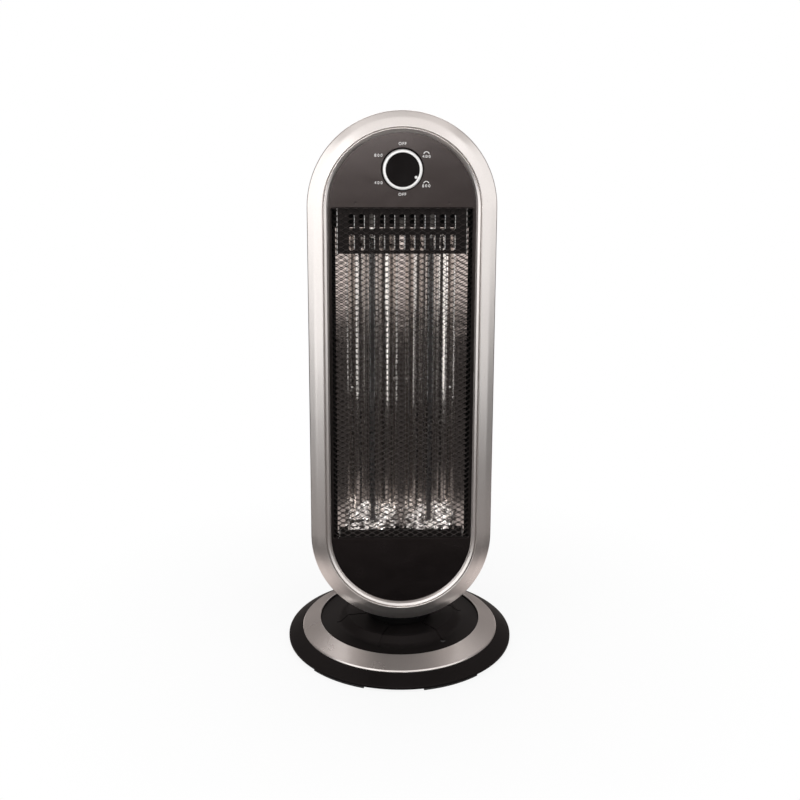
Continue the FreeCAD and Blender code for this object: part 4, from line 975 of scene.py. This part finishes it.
def studio_world():
    """White seen directly and by mirrored or refracted rays that pass the walls, otherwise a grey fill."""
    world = bpy.data.worlds.new("studio")
    bpy.context.scene.world = world
    world.use_nodes = True
    tree = world.node_tree
    tree.nodes.clear()
    path = add_node(tree, "LightPath")
    seen = path.outputs["Is Camera Ray"]
    for ray in ("Is Glossy Ray", "Is Transmission Ray"):
        seen = calculated(tree, "MAXIMUM", seen, path.outputs[ray])
    fill = add_node(tree, "Background", Color=(1, 1, 1, 1), Strength=FILL_LEVEL)
    white = add_node(tree, "Background", Color=(1, 1, 1, 1), Strength=1.0)
    out = add_node(tree, "OutputWorld")
    tree.links.new(mixed(tree, seen, fill, white).outputs[0], out.inputs["Surface"])


def floor():
    """A white floor that keeps a soft shadow round the base. Mirrored rays see a dim bench there."""
    mesh = bpy.data.meshes.new("floor")
    mesh.from_pydata([(x * FLOOR_HALF, y * FLOOR_HALF, 0) for x, y in CORNERS], [], [(0, 1, 2, 3)])
    plane = bpy.data.objects.new("floor", mesh)
    bpy.context.scene.collection.objects.link(plane)
    material, tree = bare_material("floor_white")
    place, coordinates = place_of(tree)
    away = add_node(tree, "VectorMath")
    away.operation = "LENGTH"
    tree.links.new(place, away.inputs[0])
    distance = away.outputs["Value"]
    path = add_node(tree, "LightPath")
    share = calculated(tree, "MULTIPLY", path.outputs["Is Camera Ray"], spread(tree, distance, *FLOOR_FADE))
    paper = add_node(tree, "BsdfDiffuse", Color=FLOOR_WHITE)
    white = add_node(tree, "Emission", Strength=1.0)
    bench = add_node(tree, "Emission", Strength=1.0)
    tree.links.new(room_steps(tree, distance, BENCH_LEVELS), bench.inputs["Color"])
    beside = add_node(tree, "Emission")
    tree.links.new(room_steps(tree, distance, BESIDE_LEVELS), beside.inputs["Color"])
    across = calculated(tree, "ABSOLUTE", coordinates["X"])
    tree.links.new(spread(tree, across, *BESIDE_FADE), beside.inputs["Strength"])
    seen = mixed(tree, share, paper, white)
    surface = mixed(tree, path.outputs["Is Glossy Ray"], seen, added(tree, bench, beside))
    out = add_node(tree, "OutputMaterial")
    tree.links.new(surface.outputs[0], out.inputs["Surface"])
    mesh.materials.append(material)


def studio_walls():
    """The dim room round the bench, seen only by mirrored and refracted rays."""
    bpy.ops.mesh.primitive_uv_sphere_add(segments=48, ring_count=24, radius=DOME_RADIUS,
                                         location=DOME_PLACE)
    walls = bpy.context.object
    walls.name = "studio_walls"
    material, tree = bare_material("studio_walls")
    _, coordinates = place_of(tree)
    height = spread(tree, coordinates["Z"], -DOME_RADIUS, DOME_RADIUS, 0.0, 1.0)
    room = add_node(tree, "Emission")
    tree.links.new(room_steps(tree, height, DOME_LEVELS), room.inputs["Color"])
    tree.links.new(spread(tree, coordinates["Y"], *DOME_FADE), room.inputs["Strength"])
    across = calculated(tree, "ABSOLUTE", coordinates["X"])
    wall = add_node(tree, "Emission")
    tree.links.new(room_steps(tree, height, WALL_LEVELS), wall.inputs["Color"])
    tree.links.new(spread(tree, across, *WALL_FADE), wall.inputs["Strength"])
    out = add_node(tree, "OutputMaterial")
    tree.links.new(added(tree, room, wall).outputs[0], out.inputs["Surface"])
    walls.data.materials.append(material)
    walls.visible_camera = False
    walls.visible_diffuse = False
    walls.visible_shadow = False


dress_nodes()
expanded_guard()
dial_marks()
reflector_rivets()
slot_burrs()
foot_foil()
tube_lead()
base_mark()
studio_world()
floor()
studio_walls()
for lamp in LAMPS:
    area_light(*lamp)
camera()
bpy.context.scene.view_settings.view_transform = "Standard"
